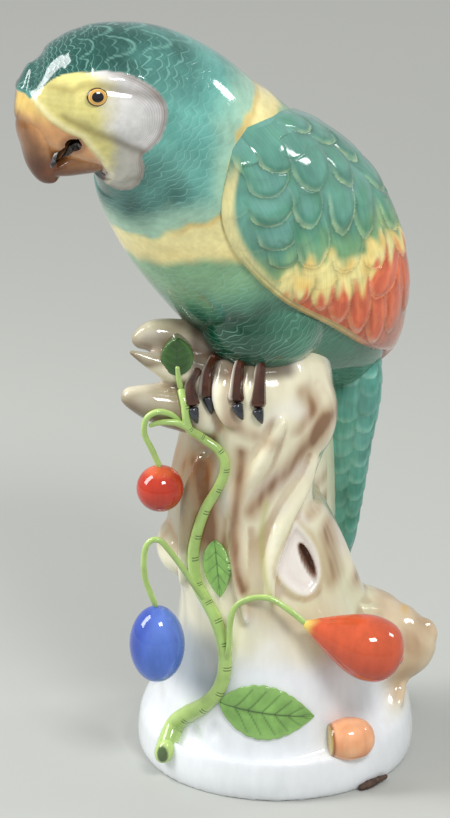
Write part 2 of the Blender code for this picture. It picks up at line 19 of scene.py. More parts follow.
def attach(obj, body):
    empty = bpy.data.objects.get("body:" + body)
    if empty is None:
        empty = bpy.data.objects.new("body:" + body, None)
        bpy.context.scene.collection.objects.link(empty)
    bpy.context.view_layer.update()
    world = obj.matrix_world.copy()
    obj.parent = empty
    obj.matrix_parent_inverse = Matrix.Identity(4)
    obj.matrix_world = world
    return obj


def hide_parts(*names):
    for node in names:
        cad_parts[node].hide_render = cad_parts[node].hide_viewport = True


bl_info = {
    "name": "Porcelain parrot",
    "version": (1, 0, 0),
    "blender": (4, 5, 0),
    "location": "3D View > Sidebar > Parrot",
    "description": "Models and paints a porcelain parrot on a stump with a fruiting vine",
    "category": "Object",
}

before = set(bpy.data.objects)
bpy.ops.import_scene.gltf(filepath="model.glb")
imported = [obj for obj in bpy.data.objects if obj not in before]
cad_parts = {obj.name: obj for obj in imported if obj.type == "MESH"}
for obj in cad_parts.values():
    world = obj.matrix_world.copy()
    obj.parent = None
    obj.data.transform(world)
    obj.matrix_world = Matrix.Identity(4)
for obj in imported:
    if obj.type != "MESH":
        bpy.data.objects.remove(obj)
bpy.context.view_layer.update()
NODE = "parrot_figurine"
MM = 0.001

BASE_RADIUS = 71.0
FOOT_BEVEL = 2.0
# A station of a loft is x, y and z of its centre, half width, half height and yaw in degrees.
STUMP_STATIONS = (
    (0, 0, 0, BASE_RADIUS - FOOT_BEVEL, BASE_RADIUS - FOOT_BEVEL, 90),
    (0, 0, 5, BASE_RADIUS, BASE_RADIUS, 90),
    (0, 0, 16, BASE_RADIUS, BASE_RADIUS, 90),
    (0, 0, 28, BASE_RADIUS - 3, BASE_RADIUS - 3, 90),
    (-1, -3, 40, 59, 60, 90),
    (-1, -6, 54, 53, 54, 90),
    (-3, -8, 75, 49, 46, 90),
    (-7, -8, 98, 44, 43, 90),
    (-13, -6, 120, 41, 41, 90),
    (-17, -6, 138, 37, 39, 90),
    (-14, -6, 160, 35, 37, 90),
    (-9, -7, 180, 36, 39, 90),
    (-8, -8, 198, 35, 41, 90),
    (-9, -8, 213, 31, 37, 90),
    (-10, -8, 224, 20, 26, 90),
)
FIRST_BARK_STATION = 5
# Winding ridges of the trunk: how many, their turn from one station to the next, and their depth.
BARK_RIDGES = ((3, 1.1, 1.2), (7, -0.8, 0.72), (13, 0.5, 0.32))
ROOT_STATIONS = (
    (12, -4, 56, 34, 34, 0),
    (38, -3, 58, 29, 31, 0),
    (54, -2, 58, 24, 27, 0),
    (66, -2, 59, 19, 21, 0),
    (75, -2, 62, 12, 15, 0),
    (79, -2, 64, 5, 7, 0),
)
SPLINTERS = (
    (
        (-16, -10, 212, 16, 17, 20),
        (-42, -20, 224, 11, 12, 20),
        (-60, -27, 230, 8, 9, 20),
        (-69, -30, 229, 4, 5, 20),
    ),
    (
        (-20, -20, 206, 13, 13, 20),
        (-46, -32, 214, 8, 9, 20),
        (-60, -37, 220, 5, 5, 20),
        (-71, -40, 226, 2, 2, 20),
    ),
    (
        (-12, -16, 186, 20, 18, 20),
        (-40, -28, 193, 15, 13, 20),
        (-60, -36, 199, 11, 10, 20),
        (-74, -40, 204, 5, 5, 20),
    ),
)
# Swellings of the stump: centre and half sizes.
SWELLINGS = (
    ((10, -16, 188), (20, 24, 27)),
    ((-45, -8, 114), (16, 24, 16)),
    ((-16, -26, 150), (17, 20, 40)),
)
# Folds of the bark: their radius, and their route as x and z of the front.
FOLDS = (
    (5.0, ((2, 196), (-6, 176), (-14, 158), (-20, 138), (-18, 112), (-14, 88))),
    (4.5, ((22, 176), (12, 158), (2, 140), (-4, 118), (-4, 96))),
    (4.0, ((-36, 172), (-42, 150), (-44, 128), (-46, 100))),
    (3.5, ((66, 76), (54, 80), (42, 84))),
    (3.0, ((72, 52), (66, 40), (62, 30))),
)
# How deep a fold's middle line lies, and its thickness along its route, as shares of its radius.
FOLD_SINK = 0.62
FOLD_TAPER = (0.4, 1.0, 1.0, 0.4)
# Rolls of clay between the toes: their radius, and their route as x and z of the front.
TOE_ROLLS = (
    (5.6, ((-25, 219), (-26.5, 210), (-26, 199), (-22, 190))),
    (3.4, ((-36, 214), (-38, 206), (-36, 197))),
    (3.2, ((-13.5, 219), (-14.5, 210), (-14.5, 202))),
)
TOE_ROLL_SINK = 0.2
TOE_ROLL_TAPER = (0.8, 1.0, 0.5)
# Painted brown strokes of the bark: half width, strength and route as x and z of the front.
BROWN_STROKES = (
    (3.2, 0.8, ((-18, 176), (-19.5, 157), (-21.6, 137), (-20.6, 118), (-17, 108))),
    (4.2, 0.75, ((24, 190), (13.4, 176.5), (4, 165), (-5, 156), (-14, 146))),
    (4.0, 0.7, ((24.5, 128), (26.5, 118), (28, 106))),
    (3.6, 0.8, ((42, 98), (56, 91), (66, 86), (73, 77))),
    (6.0, 0.55, ((74, 70), (66, 56), (60, 46))),
    (3.4, 0.5, ((-24.5, 194), (-13.7, 187), (-1.4, 183))),
    (5.0, 0.8, ((-40, 164), (-37, 152), (-34, 143), (-36, 130))),
    (3.0, 0.6, ((12, 206), (16, 196), (10, 187))),
    (5.0, 0.35, ((-16, 100), (-4, 94), (6, 88))),
    (3.0, 0.5, ((36, 150), (24, 140), (16, 138))),
)
# Shallow dents of the mound: place and half sizes as x and z of the front, and depth.
DENTS = (((-61, 36), (5, 8), 3.0), ((-41, 25), (4.5, 6.5), 2.6), ((-31, 30), (4, 7), 2.6))
# Places of paint on the front of the stump, as x and z.
OLIVE_LINE = ((-5.8, 149), (-8, 131), (-6, 112), (-2, 100))
TOE_SHADE_LINE = ((-22, 214), (-24, 204), (-22, 192))
ROOT_SPOT = (66, 78)
KNOB_PLACE = (32, -24, 192)
# The knot's white rim and its slit, as x and z of the front.
KNOT_RIM = ((8.6, 136.5), (-0.3, 119), (5, 107), (15, 101.4), (21, 109), (18, 124))
KNOT_SLIT = (14.7, 116.5)
KNOT_SLIT_HALF = (2.4, 10.0)
KNOT_SLIT_LEAN = 24
KNOT_RIM_HEIGHT = 3.0
KNOT_DEPTH = 9.0
# The brown scrap at the edge of the foot: its route and its half sizes.
RESIDUE = ((41, -58, 1.4), (46, -55, 2.2), (51, -50.5, 2.6), (56, -45.5, 2.2))
RESIDUE_HALF = ((1.2, 1.0), (2.0, 2.2), (1.4, 1.8), (1.0, 1.0))
VENT_PLACE = (0, 38)
VENT_RADIUS = 4.0
VENT_DEPTH = 30.0
STRUT_STATIONS = (
    (22, 22, 108, 21, 3.5, -26),
    (22, 22, 118, 21, 4.5, -26),
    (22, 22, 150, 21, 4.5, -26),
    (22, 22, 164, 21, 3.0, -26),
)

# The bird from the rump up the back to the forehead.
BIRD_STATIONS = (
    (41, 44, 188, 12, 12, 46),
    (35, 39, 200, 23, 23, 46),
    (26.6, 31.6, 217.6, 34, 36, 46),
    (12.2, 18.2, 244.4, 44, 51.2, 45),
    (-7.5, 1.4, 272.5, 49, 57.5, 43),
    (-27.4, -16.2, 297.3, 49, 54.5, 40),
    (-42.3, -28.5, 319.1, 45, 49.8, 34),
    (-54, -38, 338, 39, 43, 26),
    (-67, -45, 350, 34, 38.5, 18),
    (-80, -50, 355, 32, 35, 14),
    (-93, -53, 356, 30, 32, 12),
    (-104, -55, 356.6, 25.5, 27.2, 12),
    (-112.5, -56.4, 357.6, 19, 21.7, 12),
    (-119, -57, 359.3, 9.5, 13.8, 12),
)
TAIL_STATIONS = (
    (34, 38, 212, 20, 14, 46),
    (37, 36, 195, 20, 12, 46),
    (36.5, 36, 180, 20.5, 11, 46),
    (33.5, 38.5, 158, 20, 10, 46),
    (32, 41.5, 135, 18.5, 9, 46),
    (31.5, 44.5, 112, 15.5, 7.5, 46),
    (33, 47.5, 95, 11, 6, 46),
    (36, 50, 85, 5, 3, 46),
)
UPPER_BEAK_STATIONS = (
    (-98, -55.5, 352, 17, 16, 12),
    (-106, -56.5, 348.5, 17.5, 16, 12),
    (-111.5, -57, 342.5, 15.5, 12.5, 12),
    (-112.5, -57, 334.5, 12.5, 8.8, 12),
    (-111, -57, 326.5, 8.5, 8, 12),
    (-108.8, -57, 320.5, 6, 6, 12),
    (-105, -57, 317.5, 3, 3, 12),
)
LOWER_BEAK_STATIONS = (
    (-84, -55, 330, 13, 9, 12),
    (-93, -56, 327.5, 12, 8, 12),
    (-100.5, -56.5, 324, 9, 5.5, 12),
    (-106, -57, 321.5, 5.5, 3, 12),
    (-109, -57, 319.5, 2, 1.5, 12),
)
MOUTH_PLACE = (-102.7, -57, 333.2)
MOUTH_HALF = (10.5, 2.3)
MOUTH_CORNER_RADIUS = 3.6
MOUTH_CORNER_BACK = 5.9
MOUTH_SLOPE = 59
MOUTH_CUT = 50
TONGUE_HALF = (7, 4, 1.8)
TONGUE_PLACE = (-1, 0, -2.4)
HEAD_YAW = 12
THIGHS = (((-8, -22, 236), (30, 26, 24)), ((-32, 4, 250), (20, 22, 22)))

# Places on the bird are a station and a bearing in degrees, 0 on the near side and 90 on the back.
EYE_PLACE = (9.8, 11.5)
EYE_HALF = (4.9, 4.3, 2.4)
FACE_EDGE = (
    (12.6, -4), (12.3, 11), (11.7, 27), (11.0, 33), (10.1, 32), (9.3, 30), (8.7, 24), (8.25, 16),
    (8.0, 4), (7.88, -10), (7.95, -22), (8.0, -28), (7.6, -36), (7.3, -52), (7.4, -70), (7.9, -79),
    (9.0, -84), (9.4, -95), (13.5, -95), (13.5, -4),
)
# Lines round the bird are bearings and stations.
GREY_LINE = (
    (-95, 8.8), (-50, 8.9), (-32, 9.0), (-11, 9.5), (5, 9.45), (20, 9.4), (32, 9.9), (95, 10.0),
)
BROW_CREASE = ((8.3, 15), (9.2, 15.5), (10.0, 21), (10.7, 17), (11.6, 21))
JAW_CREASE = ((8.05, -25), (8.6, -26), (9.1, -24), (9.7, -20), (10.3, -14), (11.0, -8))
# The beak's edge and what lies in front of it, as x and z.
HORN_OUTLINE = (
    (-118.5, 361), (-113.4, 357.5), (-107, 351), (-99.3, 345.8), (-91.5, 342.5), (-83.3, 330),
    (-80, 322), (-90, 300), (-140, 300), (-140, 361),
)
COLLAR_TOP = (
    (-95, 6.15), (-78, 6.12), (-66, 6.02), (-50, 6.1), (-39, 6.12), (-30, 5.95), (-18, 5.95), (-8, 6.3),
    (2, 6.5), (20, 6.75), (50, 6.72), (70, 6.65), (95, 6.6),
)
COLLAR_LOW = (
    (-95, 5.58), (-80, 5.6), (-65, 5.55), (-48, 5.42), (-37, 5.25), (-30, 5.0), (-26, 5.4), (0, 6.2),
    (20, 6.35), (45, 6.1), (60, 5.9), (75, 5.8), (95, 5.8),
)

# Wing outline on the bird: station, bearing of the front edge and of the back edge, and
# how far the wing stands off the bird towards each of them.
WING_ROWS = (
    (6.7, 12, 26, 3, 0.5),
    (6.4, -5, 41, 5, 0.5),
    (6.0, -20, 53, 6, 0.5),
    (5.5, -29, 68, 6, 1.2),
    (4.95, -33, 82, 6, 2.6),
    (4.3, -33, 86, 6, 4.6),
    (3.8, -31, 87, 6, 7),
    (3.2, -26, 87, 6, 8),
    (2.5, -20, 84, 6, 8),
    (1.9, -10, 76, 6, 7.3),
    (1.4, 4, 66, 5.5, 6),
    (0.95, 18, 58, 5, 5),
    (0.15, 33, 51, 3, 3),
)
WING_EDGE_LIFT = 0.8
# The inside of a wing lies this deep in the body.
WING_SINK = 5.0
# The higher this power, the squarer the wing's edge.
WING_EDGE_POWER = 4
# The feathers of a wing hang this far off the line of the bird's back.
FEATHER_LEAN = 40
# Feather rows down the wing: place of the tips, how much it drops across the wing, first
# feather, spacing, length, height of the tip and how pointed the tip is.
FEATHER_ROWS = (
    (9, 0.0, 58, 20, 26, 1.3, 9),
    (29, -0.02, 20, 23, 28, 1.7, 11),
    (49, 0.05, 9, 21.5, 27, 1.7, 11),
    (64, 0.0, 20, 20, 26, 1.5, 11),
    (77, 0.02, 8, 19, 26, 1.3, 10),
    (90, 0.06, 14, 11, 34, 1.1, 12),
    (99, 0.25, 10, 8.5, 34, 0.9, 9),
    (112, 0.35, 5, 8.5, 40, 0.9, 9),
    (128, 0.35, 5, 9, 50, 0.8, 12),
)

# Larger feathers of a wing, uppermost first: base and tip, each as millimetres down the wing
# and round the bird, and half width.
WING_FEATHERS = (
    ((20, 45), (38, 47), 7), ((31, 49), (60, 48), 8), ((53, 52), (76, 44), 7), ((32, 32), (50, 17), 13),
    ((12, 26), (28, 15), 13), ((53, 40), (71, 28), 8), ((74, 47), (101, 45), 8),
    ((17, 10), (29, 2), 11), ((5, 14), (16, 3), 8), ((61, 26), (75, 7), 9), ((76, 32), (91, 13), 9),
    ((93, 43), (113, 32), 9), ((40, 15), (55, 1), 9), ((27, 0), (40, -5), 11), ((54, 1), (72, -9), 9),
    ((76, 9), (93, -1), 10), ((38, -6), (50, -12), 10), ((49, -11), (58, -17), 8),
    ((94, 17), (110, 11), 9), ((108, 36), (128, 32), 8), ((112, 20), (118, -1), 11),
    ((66, -13), (84, -25), 5), ((74, -7), (98, -21), 6), ((84, -4), (115, -20), 6),
    ((95, 1), (131, -16), 7), ((112, 3), (148, -11), 7), ((122, 17), (150, 1), 9),
    ((128, 32), (152, 18), 9),
)
WING_FEATHER_STEP = 1.5
# Where the gold and the red of a wing begin: millimetres over its feathers, and down them.
GOLD_LINE = ((21, 61), (32, 54), (47, 58), (58, 66), (73, 62), (97, 65))
RED_LINE = ((26, 74), (34, 73), (44, 78), (52, 78), (66, 83), (77, 73), (97, 72))
# The far wing's front edge lies this many degrees further back than the near one's.
FAR_WING_INSET = 9

TOES = (
    ((-39, 217), (-43, 209), (-42.5, 199)),
    ((-31.5, 221), (-35, 214), (-35.5, 203)),
    ((-16, 223), (-19, 217), (-20, 203)),
    ((-8, 222), (-10, 216), (-11, 201)),
)
TOE_HALF = ((2.0, 3.0), (2.8, 3.4), (4.6, 4.2))
TOE_LIFT = 1.5
CLAW_DROP = (3.0, -8.0)
CLAW_HALF = ((3.3, 3.0), (2.2, 2.4), (0.5, 0.6))
CLAW_LIFTS = (2.0, 1.0)

VINE = (
    (-55, 16), (-50, 26), (-43.5, 35), (-35, 43), (-28, 53), (-25, 66), (-26, 78), (-29.5, 89),
    (-34, 97), (-39, 106), (-41, 120), (-39.5, 132), (-35, 145), (-28, 157), (-25, 167), (-28, 176),
    (-38, 184), (-44, 190), (-46, 200), (-47.5, 208),
)
# The vine's middle line stands this far off the stump.
VINE_LIFT = 1.8
VINE_WIDTHS = (
    5.2, 4.6, 3.7, 3.4, 3.1, 2.9, 2.7, 2.5, 2.3, 2.1, 1.9,
)
CUT_END_RADIUS = 5.0
STEM_RADIUS = 1.5
STEM_OVERLAP = 1.0
# A stem leaves the vine at a joint, one of the vine's points, and goes on in steps from there.
CHERRY_JOINT = 16
CHERRY_STEM = (
    (0, 0, 0), (-9, -3, 9), (-15, -6, 14), (-21, -8, 15.5), (-26, -8, 12), (-27, -7, 4), (-23, -5, -6),
    (-19.7, -4, -14.8),
)
CHERRY_RADIUS = 11.6
PLUM_JOINT = 8
PLUM_STEM = (
    (0, 0, 0), (-6, -3, 10), (-12, -6, 21), (-18, -9, 31), (-23, -10, 37), (-28, -10, 36),
    (-30.5, -10, 29), (-30, -9, 16), (-24.5, -8, 0),
)
PLUM_HALF = (13.8, 13.8, 20.0)
PEAR_JOINT = 5
PEAR_STEM = (
    (0, 0, 0), (2, -4, 12), (2.5, -4, 24), (5, -4, 33), (12, -5, 38), (22, -6, 38.5), (31, -8, 33.5),
    (40, -9, 26),
)
# Profiles are millimetres along the fruit or nut, and its radius there.
PEAR_PROFILE = (
    (0, 1.8), (6, 5.2), (15, 10.0), (26, 14.8), (35, 16.4), (44, 14.6), (49.5, 9.0), (51.5, 2.5),
)
PEAR_SLOPE = -22
CURL_JOINT = 17
CURL = ((0.5, -0.5, 0), (-6, -1.5, 3), (-13, -2.5, 3.5), (-19, -2, 1.5))
CURL_RADII = (1.9, 1.6, 1.0)
# The stalk of the top leaf: x, the step in y from the end of the vine, and z.
TOP_STALK = ((-48.5, -1.5, 214), (-49, -2.5, 220))
TOP_STALK_RADII = (1.5, 1.1)
NUT_PLACE = (36, 25)
NUT_PROFILE = ((0, 7.6), (1.5, 8.6), (7, 10.6), (12, 10.8), (18, 9.4), (22, 5.5), (23, 1.5))
NUT_YAW = -12
NUT_LIFT = 4.0
# Leaves: base and tip as x and z, half width, and how far behind the foremost clay under it a
# leaf stands that bridges the splinters; one with 0 follows the clay.
LEAVES = {
    "leaf_top": ((-49, 214.5), (-49.3, 233.5), 7.6, 1.0),
    "leaf_middle": ((-31, 129), (-28, 101), 6.4, 0),
    "leaf_base": ((-28, 46), (18, 41), 13.5, 0),
}
LEAF_THICK = 2.2
LEAF_FULLNESS = 0.75

# The photograph's view: where the camera looks, how far off and how high it stands.
LOOK_AT = (-26, 0, 183)
CAMERA_DISTANCE = 1500
CAMERA_HEIGHT_DEG = 19.5
FOCAL_SHARE = 3000 / 818


def srgb(red, green, blue):
    """A colour as eyes read it, 0 to 255, in the linear values that shaders take."""
    parts = (value / 255 for value in (red, green, blue))
    return tuple(part / 12.92 if part <= 0.04045 else ((part + 0.055) / 1.055) ** 2.4 for part in parts)


def colour_setting(name, description, value):
    """A colour of the panel."""
    return FloatVectorProperty(
        name=name, description=description, subtype="COLOR", size=3, min=0, max=1, default=srgb(*value)
    )


class ParrotSettings(bpy.types.PropertyGroup):
    """Sizes and colours that can be changed before the pieces are made."""

    gloss: FloatProperty(
        name="Glaze roughness", description="Roughness of the fired glaze", default=0.09, min=0.02, max=0.5,
        subtype="FACTOR",
    )
    scallop_relief: FloatProperty(
        name="Small feather relief", description="Height of the small moulded feathers",
        default=0.00003, min=0, max=0.002, subtype="DISTANCE", unit="LENGTH",
    )
    feather_step: FloatProperty(
        name="Wing feather step", description="Scale of the height of the wing feathers' tips",
        default=1.0, min=0.1, max=2.0, subtype="FACTOR",
    )
    bark_voxel: FloatProperty(
        name="Bark detail", description="Grain at which the stump's clay forms are joined",
        default=0.0013, min=0.0008, max=0.004, subtype="DISTANCE", unit="LENGTH",
    )
    scallops_round: IntProperty(
        name="Small feathers round", description="Small feathers in one row round the body",
        default=36, min=16, max=128,
    )
    teal_dark: colour_setting("Dark teal", "Crown of the head", (2, 62, 54))
    teal: colour_setting("Teal", "Neck and tail", (108, 178, 166))
    teal_light: colour_setting("Pale teal", "Fringes of the small feathers", (150, 208, 192))
    # Painted shade under the bird's belly.
    underside_shade_green: colour_setting("Belly green", "Under the bird", (14, 66, 46))
    breast_green: colour_setting("Breast green", "Below the collar", (132, 178, 134))
    collar_yellow: colour_setting("Collar yellow", "Band round the neck and breast", (247, 234, 166))
    face_yellow: colour_setting("Face yellow", "Bare skin round the eye", (226, 216, 138))
    cheek_grey: colour_setting("Cheek grey", "Rear of the bare skin", (216, 214, 212))
    wing_green: colour_setting("Wing green", "Coverts", (84, 150, 118))
    flight_red: colour_setting("Flight red", "Flight feathers", (240, 122, 74))
    horn: colour_setting("Horn orange", "Beak", (238, 172, 110))
    horn_brown: colour_setting("Horn brown", "Ridge and tip of the beak", (112, 62, 26))
    iris: colour_setting("Iris", "Ring of the eye", (236, 186, 96))
    cream: colour_setting("Bark cream", "Light bark", (242, 236, 206))
    bark_brown: colour_setting("Bark brown", "Grooves of the bark", (158, 112, 68))
    white: colour_setting("White", "Bare porcelain", (238, 241, 244))
    vine_green: colour_setting("Vine green", "Vine and stems", (192, 220, 132))
    leaf_green: colour_setting("Leaf green", "Leaves", (132, 180, 92))
    leaf_dark: colour_setting("Dark leaf", "Top leaf", (46, 84, 32))
    toe_brown: colour_setting("Toe brown", "Toes", (66, 32, 16))
    claw: colour_setting("Claw", "Claws", (44, 48, 56))
    cherry: colour_setting("Cherry", "Round fruit", (190, 52, 28))
    plum: colour_setting("Plum", "Long blue fruit", (78, 116, 208))
    pear: colour_setting("Pear", "Pear-shaped fruit", (208, 88, 50))
    nut: colour_setting("Nut", "Nut on the base", (246, 186, 140))


def settings():
    """The panel's values."""
    return bpy.context.scene.parrot


def spline(points, at):
    """The point at a place along a list of rows, by a Catmull-Rom curve through them."""
    last = len(points) - 1
    first = min(int(at), last - 1)
    t = at - first
    rows = [points[min(max(first + step, 0), last)] for step in (-1, 0, 1, 2)]
    curve = []
    for p, q, r, s in zip(*rows):
        slope = r - p
        bend = 2 * p - 5 * q + 4 * r - s
        twist = 3 * q - p - 3 * r + s
        curve.append(q + 0.5 * (slope * t + bend * t**2 + twist * t**3))
    return curve


@functools.lru_cache(maxsize=4096)
def station_frame(stations, at):
    """Centre, across, up, along, half width and half height of a loft at a place along it."""
    x, y, z, half_width, half_height, yaw = spline(stations, at)
    step = 0.05
    ahead = Vector(spline(stations, min(at + step, len(stations) - 1))[:3])
    behind = Vector(spline(stations, max(at - step, 0))[:3])
    along = (ahead - behind).normalized()
    turn = math.radians(yaw)
    up = along.cross(Vector((math.sin(turn), -math.cos(turn), 0))).normalized()
    across = up.cross(along)
    return Vector((x, y, z)), across, up, along, half_width, half_height


def loft_point(stations, at, bearing, dome=0.0, depth=0.0):
    """A point on a loft and the way out of it; dome, up to 1, rounds its end off by a depth."""
    centre, across, up, along, half_width, half_height = station_frame(stations, at)
    shrink = math.sqrt(max(1 - dome * dome, 0))
    turn = math.radians(bearing)
    flat = across * (half_width * math.cos(turn)) + up * (half_height * math.sin(turn))
    out = across * (half_height * math.cos(turn)) + up * (half_width * math.sin(turn))
    out.normalize()
    out = out * shrink + along * dome
    return centre + flat * shrink + along * (depth * dome), out


def bird_skin(at, bearing, lift=0.0):
    """A point on the bird, lifted off it, and the way out of the skin there."""
    point, out = loft_point(BIRD_STATIONS, at, bearing)
    return point + out * lift, out


BIRD_STEP = 0.05
BIRD_PLACES = np.arange(0, len(BIRD_STATIONS) - 1 + BIRD_STEP, BIRD_STEP)


def bird_lengths():
    """Distance along the bird's middle line from the rump, at every BIRD_STEP of a station."""
    centres = np.array([spline(BIRD_STATIONS, min(at, len(BIRD_STATIONS) - 1))[:3] for at in BIRD_PLACES])
    steps = np.linalg.norm(np.diff(centres, axis=0), axis=1)
    return np.concatenate([[0], np.cumsum(steps)])


BIRD_LENGTHS = bird_lengths()


def length_at(at):
    """Millimetres along the bird at a station, or at an array of them."""
    return np.interp(at, BIRD_PLACES, BIRD_LENGTHS)


def rise(low, high, value):
    """0 below low, 1 above high and smooth between, for an array."""
    t = np.clip((value - low) / (high - low), 0, 1)
    return t * t * (3 - 2 * t)


def blend(first, second, share):
    """Mixes two colours, or arrays of colours, by an array of shares."""
    return np.asarray(first) + (np.asarray(second) - np.asarray(first)) * np.asarray(share)[..., None]


def ripple(points, scale, seed=0.0):
    """Smooth waves over an array of places, from -1 to 1, that never line up."""
    x, y, z = (points * (math.tau / scale)).T
    first = np.sin(x + 1.7 * np.sin(0.6 * y + seed) + seed)
    second = np.sin(1.3 * y + 1.4 * np.sin(0.7 * z) + 2 * seed)
    third = np.sin(1.1 * z + 1.9 * np.sin(0.5 * x - seed))
    return (first + second + third) / 3


def bell(distance, half):
    """1 at no distance, fading out over a half width, for an array."""
    return np.exp(-((distance / half) ** 2))


def outline_distance(places, outline):
    """Distance of flat places inside a closed outline, less than 0 outside it."""
    ends = np.array(outline, float)
    starts = np.roll(ends, 1, axis=0)
    best = np.full(len(places), 1e9)
    inside = np.zeros(len(places), bool)
    for start, end in zip(starts, ends):
        run = end - start
        offset = places - start
        share = np.clip(offset @ run / (run @ run), 0, 1)
        best = np.minimum(best, np.linalg.norm(offset - share[:, None] * run, axis=1))
        crosses = (start[1] > places[:, 1]) != (end[1] > places[:, 1])
        with np.errstate(divide="ignore", invalid="ignore"):
            meet = start[0] + (places[:, 1] - start[1]) * run[0] / run[1]
        inside ^= crosses & (places[:, 0] < meet)
    return np.where(inside, best, -best)


def line_distance(places, line):
    """Distance of flat places from an open line."""
    best = np.full(len(places), 1e9)
    points = np.array(line, float)
    for start, end in zip(points, points[1:]):
        run = end - start
        offset = places - start
        share = np.clip(offset @ run / (run @ run), 0, 1)
        best = np.minimum(best, np.linalg.norm(offset - share[:, None] * run, axis=1))
    return best


def rounded(points, steps=6):
    """A smooth line through a few points."""
    count = (len(points) - 1) * steps
    return [spline(points, (len(points) - 1) * number / count) for number in range(count + 1)]


def unrolled(at, bearing, radius):
    """Places on the bird laid flat, in millimetres along it and round it."""
    return np.stack([length_at(at), np.radians(bearing) * radius], axis=-1)


def unrolled_line(points, radius, steps=6):
    """A line of stations and bearings laid flat."""
    places = rounded(points, steps)
    return [tuple(unrolled(np.array(at), np.array(bearing), radius)) for at, bearing in places]


def past_line(at, side, line):
    """Millimetres towards the beak from a line round the bird."""
    return length_at(at) - length_at(np.interp(side, *zip(*line)))


def rolled_grid(around, along):
    """A flat grid to roll into a skin, and its places round and along, from 0 to 1."""
    bm = bmesh.new()
    bm.loops.layers.uv.new("UVMap")
    bmesh.ops.create_grid(bm, x_segments=around, y_segments=along, size=0.5, calc_uvs=True)
    places = np.array([(vert.co.x + 0.5, vert.co.y + 0.5) for vert in bm.verts])
    return bm, places


def roll_up(bm, points):
    """Puts a grid's points in their places, in millimetres, and closes the seam and the ends."""
    for vert, point in zip(bm.verts, points):
        vert.co = Vector(point) * MM
    bmesh.ops.remove_doubles(bm, verts=bm.verts, dist=0.002 * MM)
    bmesh.ops.holes_fill(bm, edges=[edge for edge in bm.edges if edge.is_boundary], sides=0)
    bmesh.ops.recalc_face_normals(bm, faces=bm.faces)


def domed_loft(stations, around, along, dome=(0.0, 0.0), shape=None):
    """A skin through elliptical stations with rounded ends, in a bmesh."""
    bm, places = rolled_grid(around, along)
    last = len(stations) - 1
    caps = [max(2, along // 12) / along if depth else 0 for depth in dome]
    points = []
    for u, v in places:
        depth, share = 0.0, 0.0
        if v < caps[0]:
            depth, share = dome[0], -math.sin((1 - v / caps[0]) * math.pi / 2)
            at = 0.0
        elif v > 1 - caps[1] and caps[1]:
            depth, share = dome[1], math.sin((1 - (1 - v) / caps[1]) * math.pi / 2)
            at = float(last)
        else:
            at = last * (v - caps[0]) / (1 - caps[0] - caps[1])
        point, out = loft_point(stations, at, 360 * u, share, depth)
        if shape:
            point = point + out * shape(360 * u, at)
        points.append(point)
    roll_up(bm, points)
    return bm


def ball(centre, half, turn=None, sides=32, rows=20):
    """A rounded form, turned by a rotation matrix, in a bmesh."""
    bm = bmesh.new()
    bm.loops.layers.uv.new("UVMap")
    place = Matrix.Translation(Vector(centre)) @ (turn or Matrix.Identity(4)) @ Matrix.Diagonal((*half, 1))
    bmesh.ops.create_uvsphere(
        bm, u_segments=sides, v_segments=rows, radius=1, matrix=Matrix.Scale(MM, 4) @ place, calc_uvs=True
    )
    return bm


def route_stations(route, sizes, count):
    """Stations along a smooth route whose half sizes run through the given pairs."""
    stations = []
    for number in range(count + 1):
        share = number / count
        point = spline(route, share * (len(route) - 1))
        half = spline(sizes, share * (len(sizes) - 1))
        stations.append((*point, *half))
    return stations


# The first two rings of a tube, counted from either end, shrink by these shares to close it.
TUBE_ENDS = {0: 0.02, 1: 0.8}


def tube(route, sizes, around=12, rings=40):
    """A closed skin of given half sizes along a free route, in a bmesh with UVs along it."""
    bm, places = rolled_grid(around, rings)
    rows = route_stations(route, sizes, rings)
    centres = [Vector(row[:3]) for row in rows]
    frames = []
    side = None
    for number in range(rings + 1):
        ahead = centres[min(number + 1, rings)] - centres[max(number - 1, 0)]
        ahead.normalize()
        if side is None:
            side = ahead.cross(Vector((0, -1, 0)))
        side = (side - ahead * side.dot(ahead)).normalized()
        frames.append((side, side.cross(ahead)))
    points = []
    for u, v in places:
        number = round(v * rings)
        side, up = frames[number]
        half_width, half_height = rows[number][3:]
        shrink = TUBE_ENDS.get(min(number, rings - number), 1.0)
        turn = math.tau * u
        ring = side * (half_width * math.cos(turn)) + up * (half_height * math.sin(turn))
        points.append(centres[number] + ring * shrink)
    roll_up(bm, points)
    return bm


def gather(target, bm):
    """Adds one bmesh to another."""
    mesh = bpy.data.meshes.new("part")
    bm.to_mesh(mesh)
    bm.free()
    target.from_mesh(mesh)
    bpy.data.meshes.remove(mesh)


def mark_grid(bm, name, values):
    """Keeps a number or a colour for each point of a grid that isn't rolled up yet."""
    values = np.asarray(values, float)
    layers = bm.verts.layers
    layer = (layers.float_color if values.ndim == 2 else layers.float).new(name)
    for vert, value in zip(bm.verts, values):
        vert[layer] = (*value, 1) if values.ndim == 2 else value


def piece(name, bm, material=None):
    """A shown piece of porcelain from a bmesh in metres: it rides on the body and takes its slot."""
    mesh = bpy.data.meshes.new(name)
    bm.to_mesh(mesh)
    bm.free()
    mesh.shade_smooth()
    if material:
        mesh.materials.append(material)
    obj = bpy.data.objects.new(name, mesh)
    bpy.context.scene.collection.objects.link(obj)
    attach(obj, "root")
    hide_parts(NODE)
    return obj


def applied(obj):
    """Applies the modifiers of a piece to its mesh."""
    graph = bpy.context.evaluated_depsgraph_get()
    graph.update()
    shaped = obj.evaluated_get(graph)
    mesh = bpy.data.meshes.new_from_object(shaped, preserve_all_data_layers=True, depsgraph=graph)
    obj.modifiers.clear()
    old = obj.data
    obj.data = mesh
    bpy.data.meshes.remove(old)
    mesh.name = obj.name
    return obj


# An edge bent by more than this many degrees stays sharp where a cutter has passed.
CUT_EDGE_DEG = 50


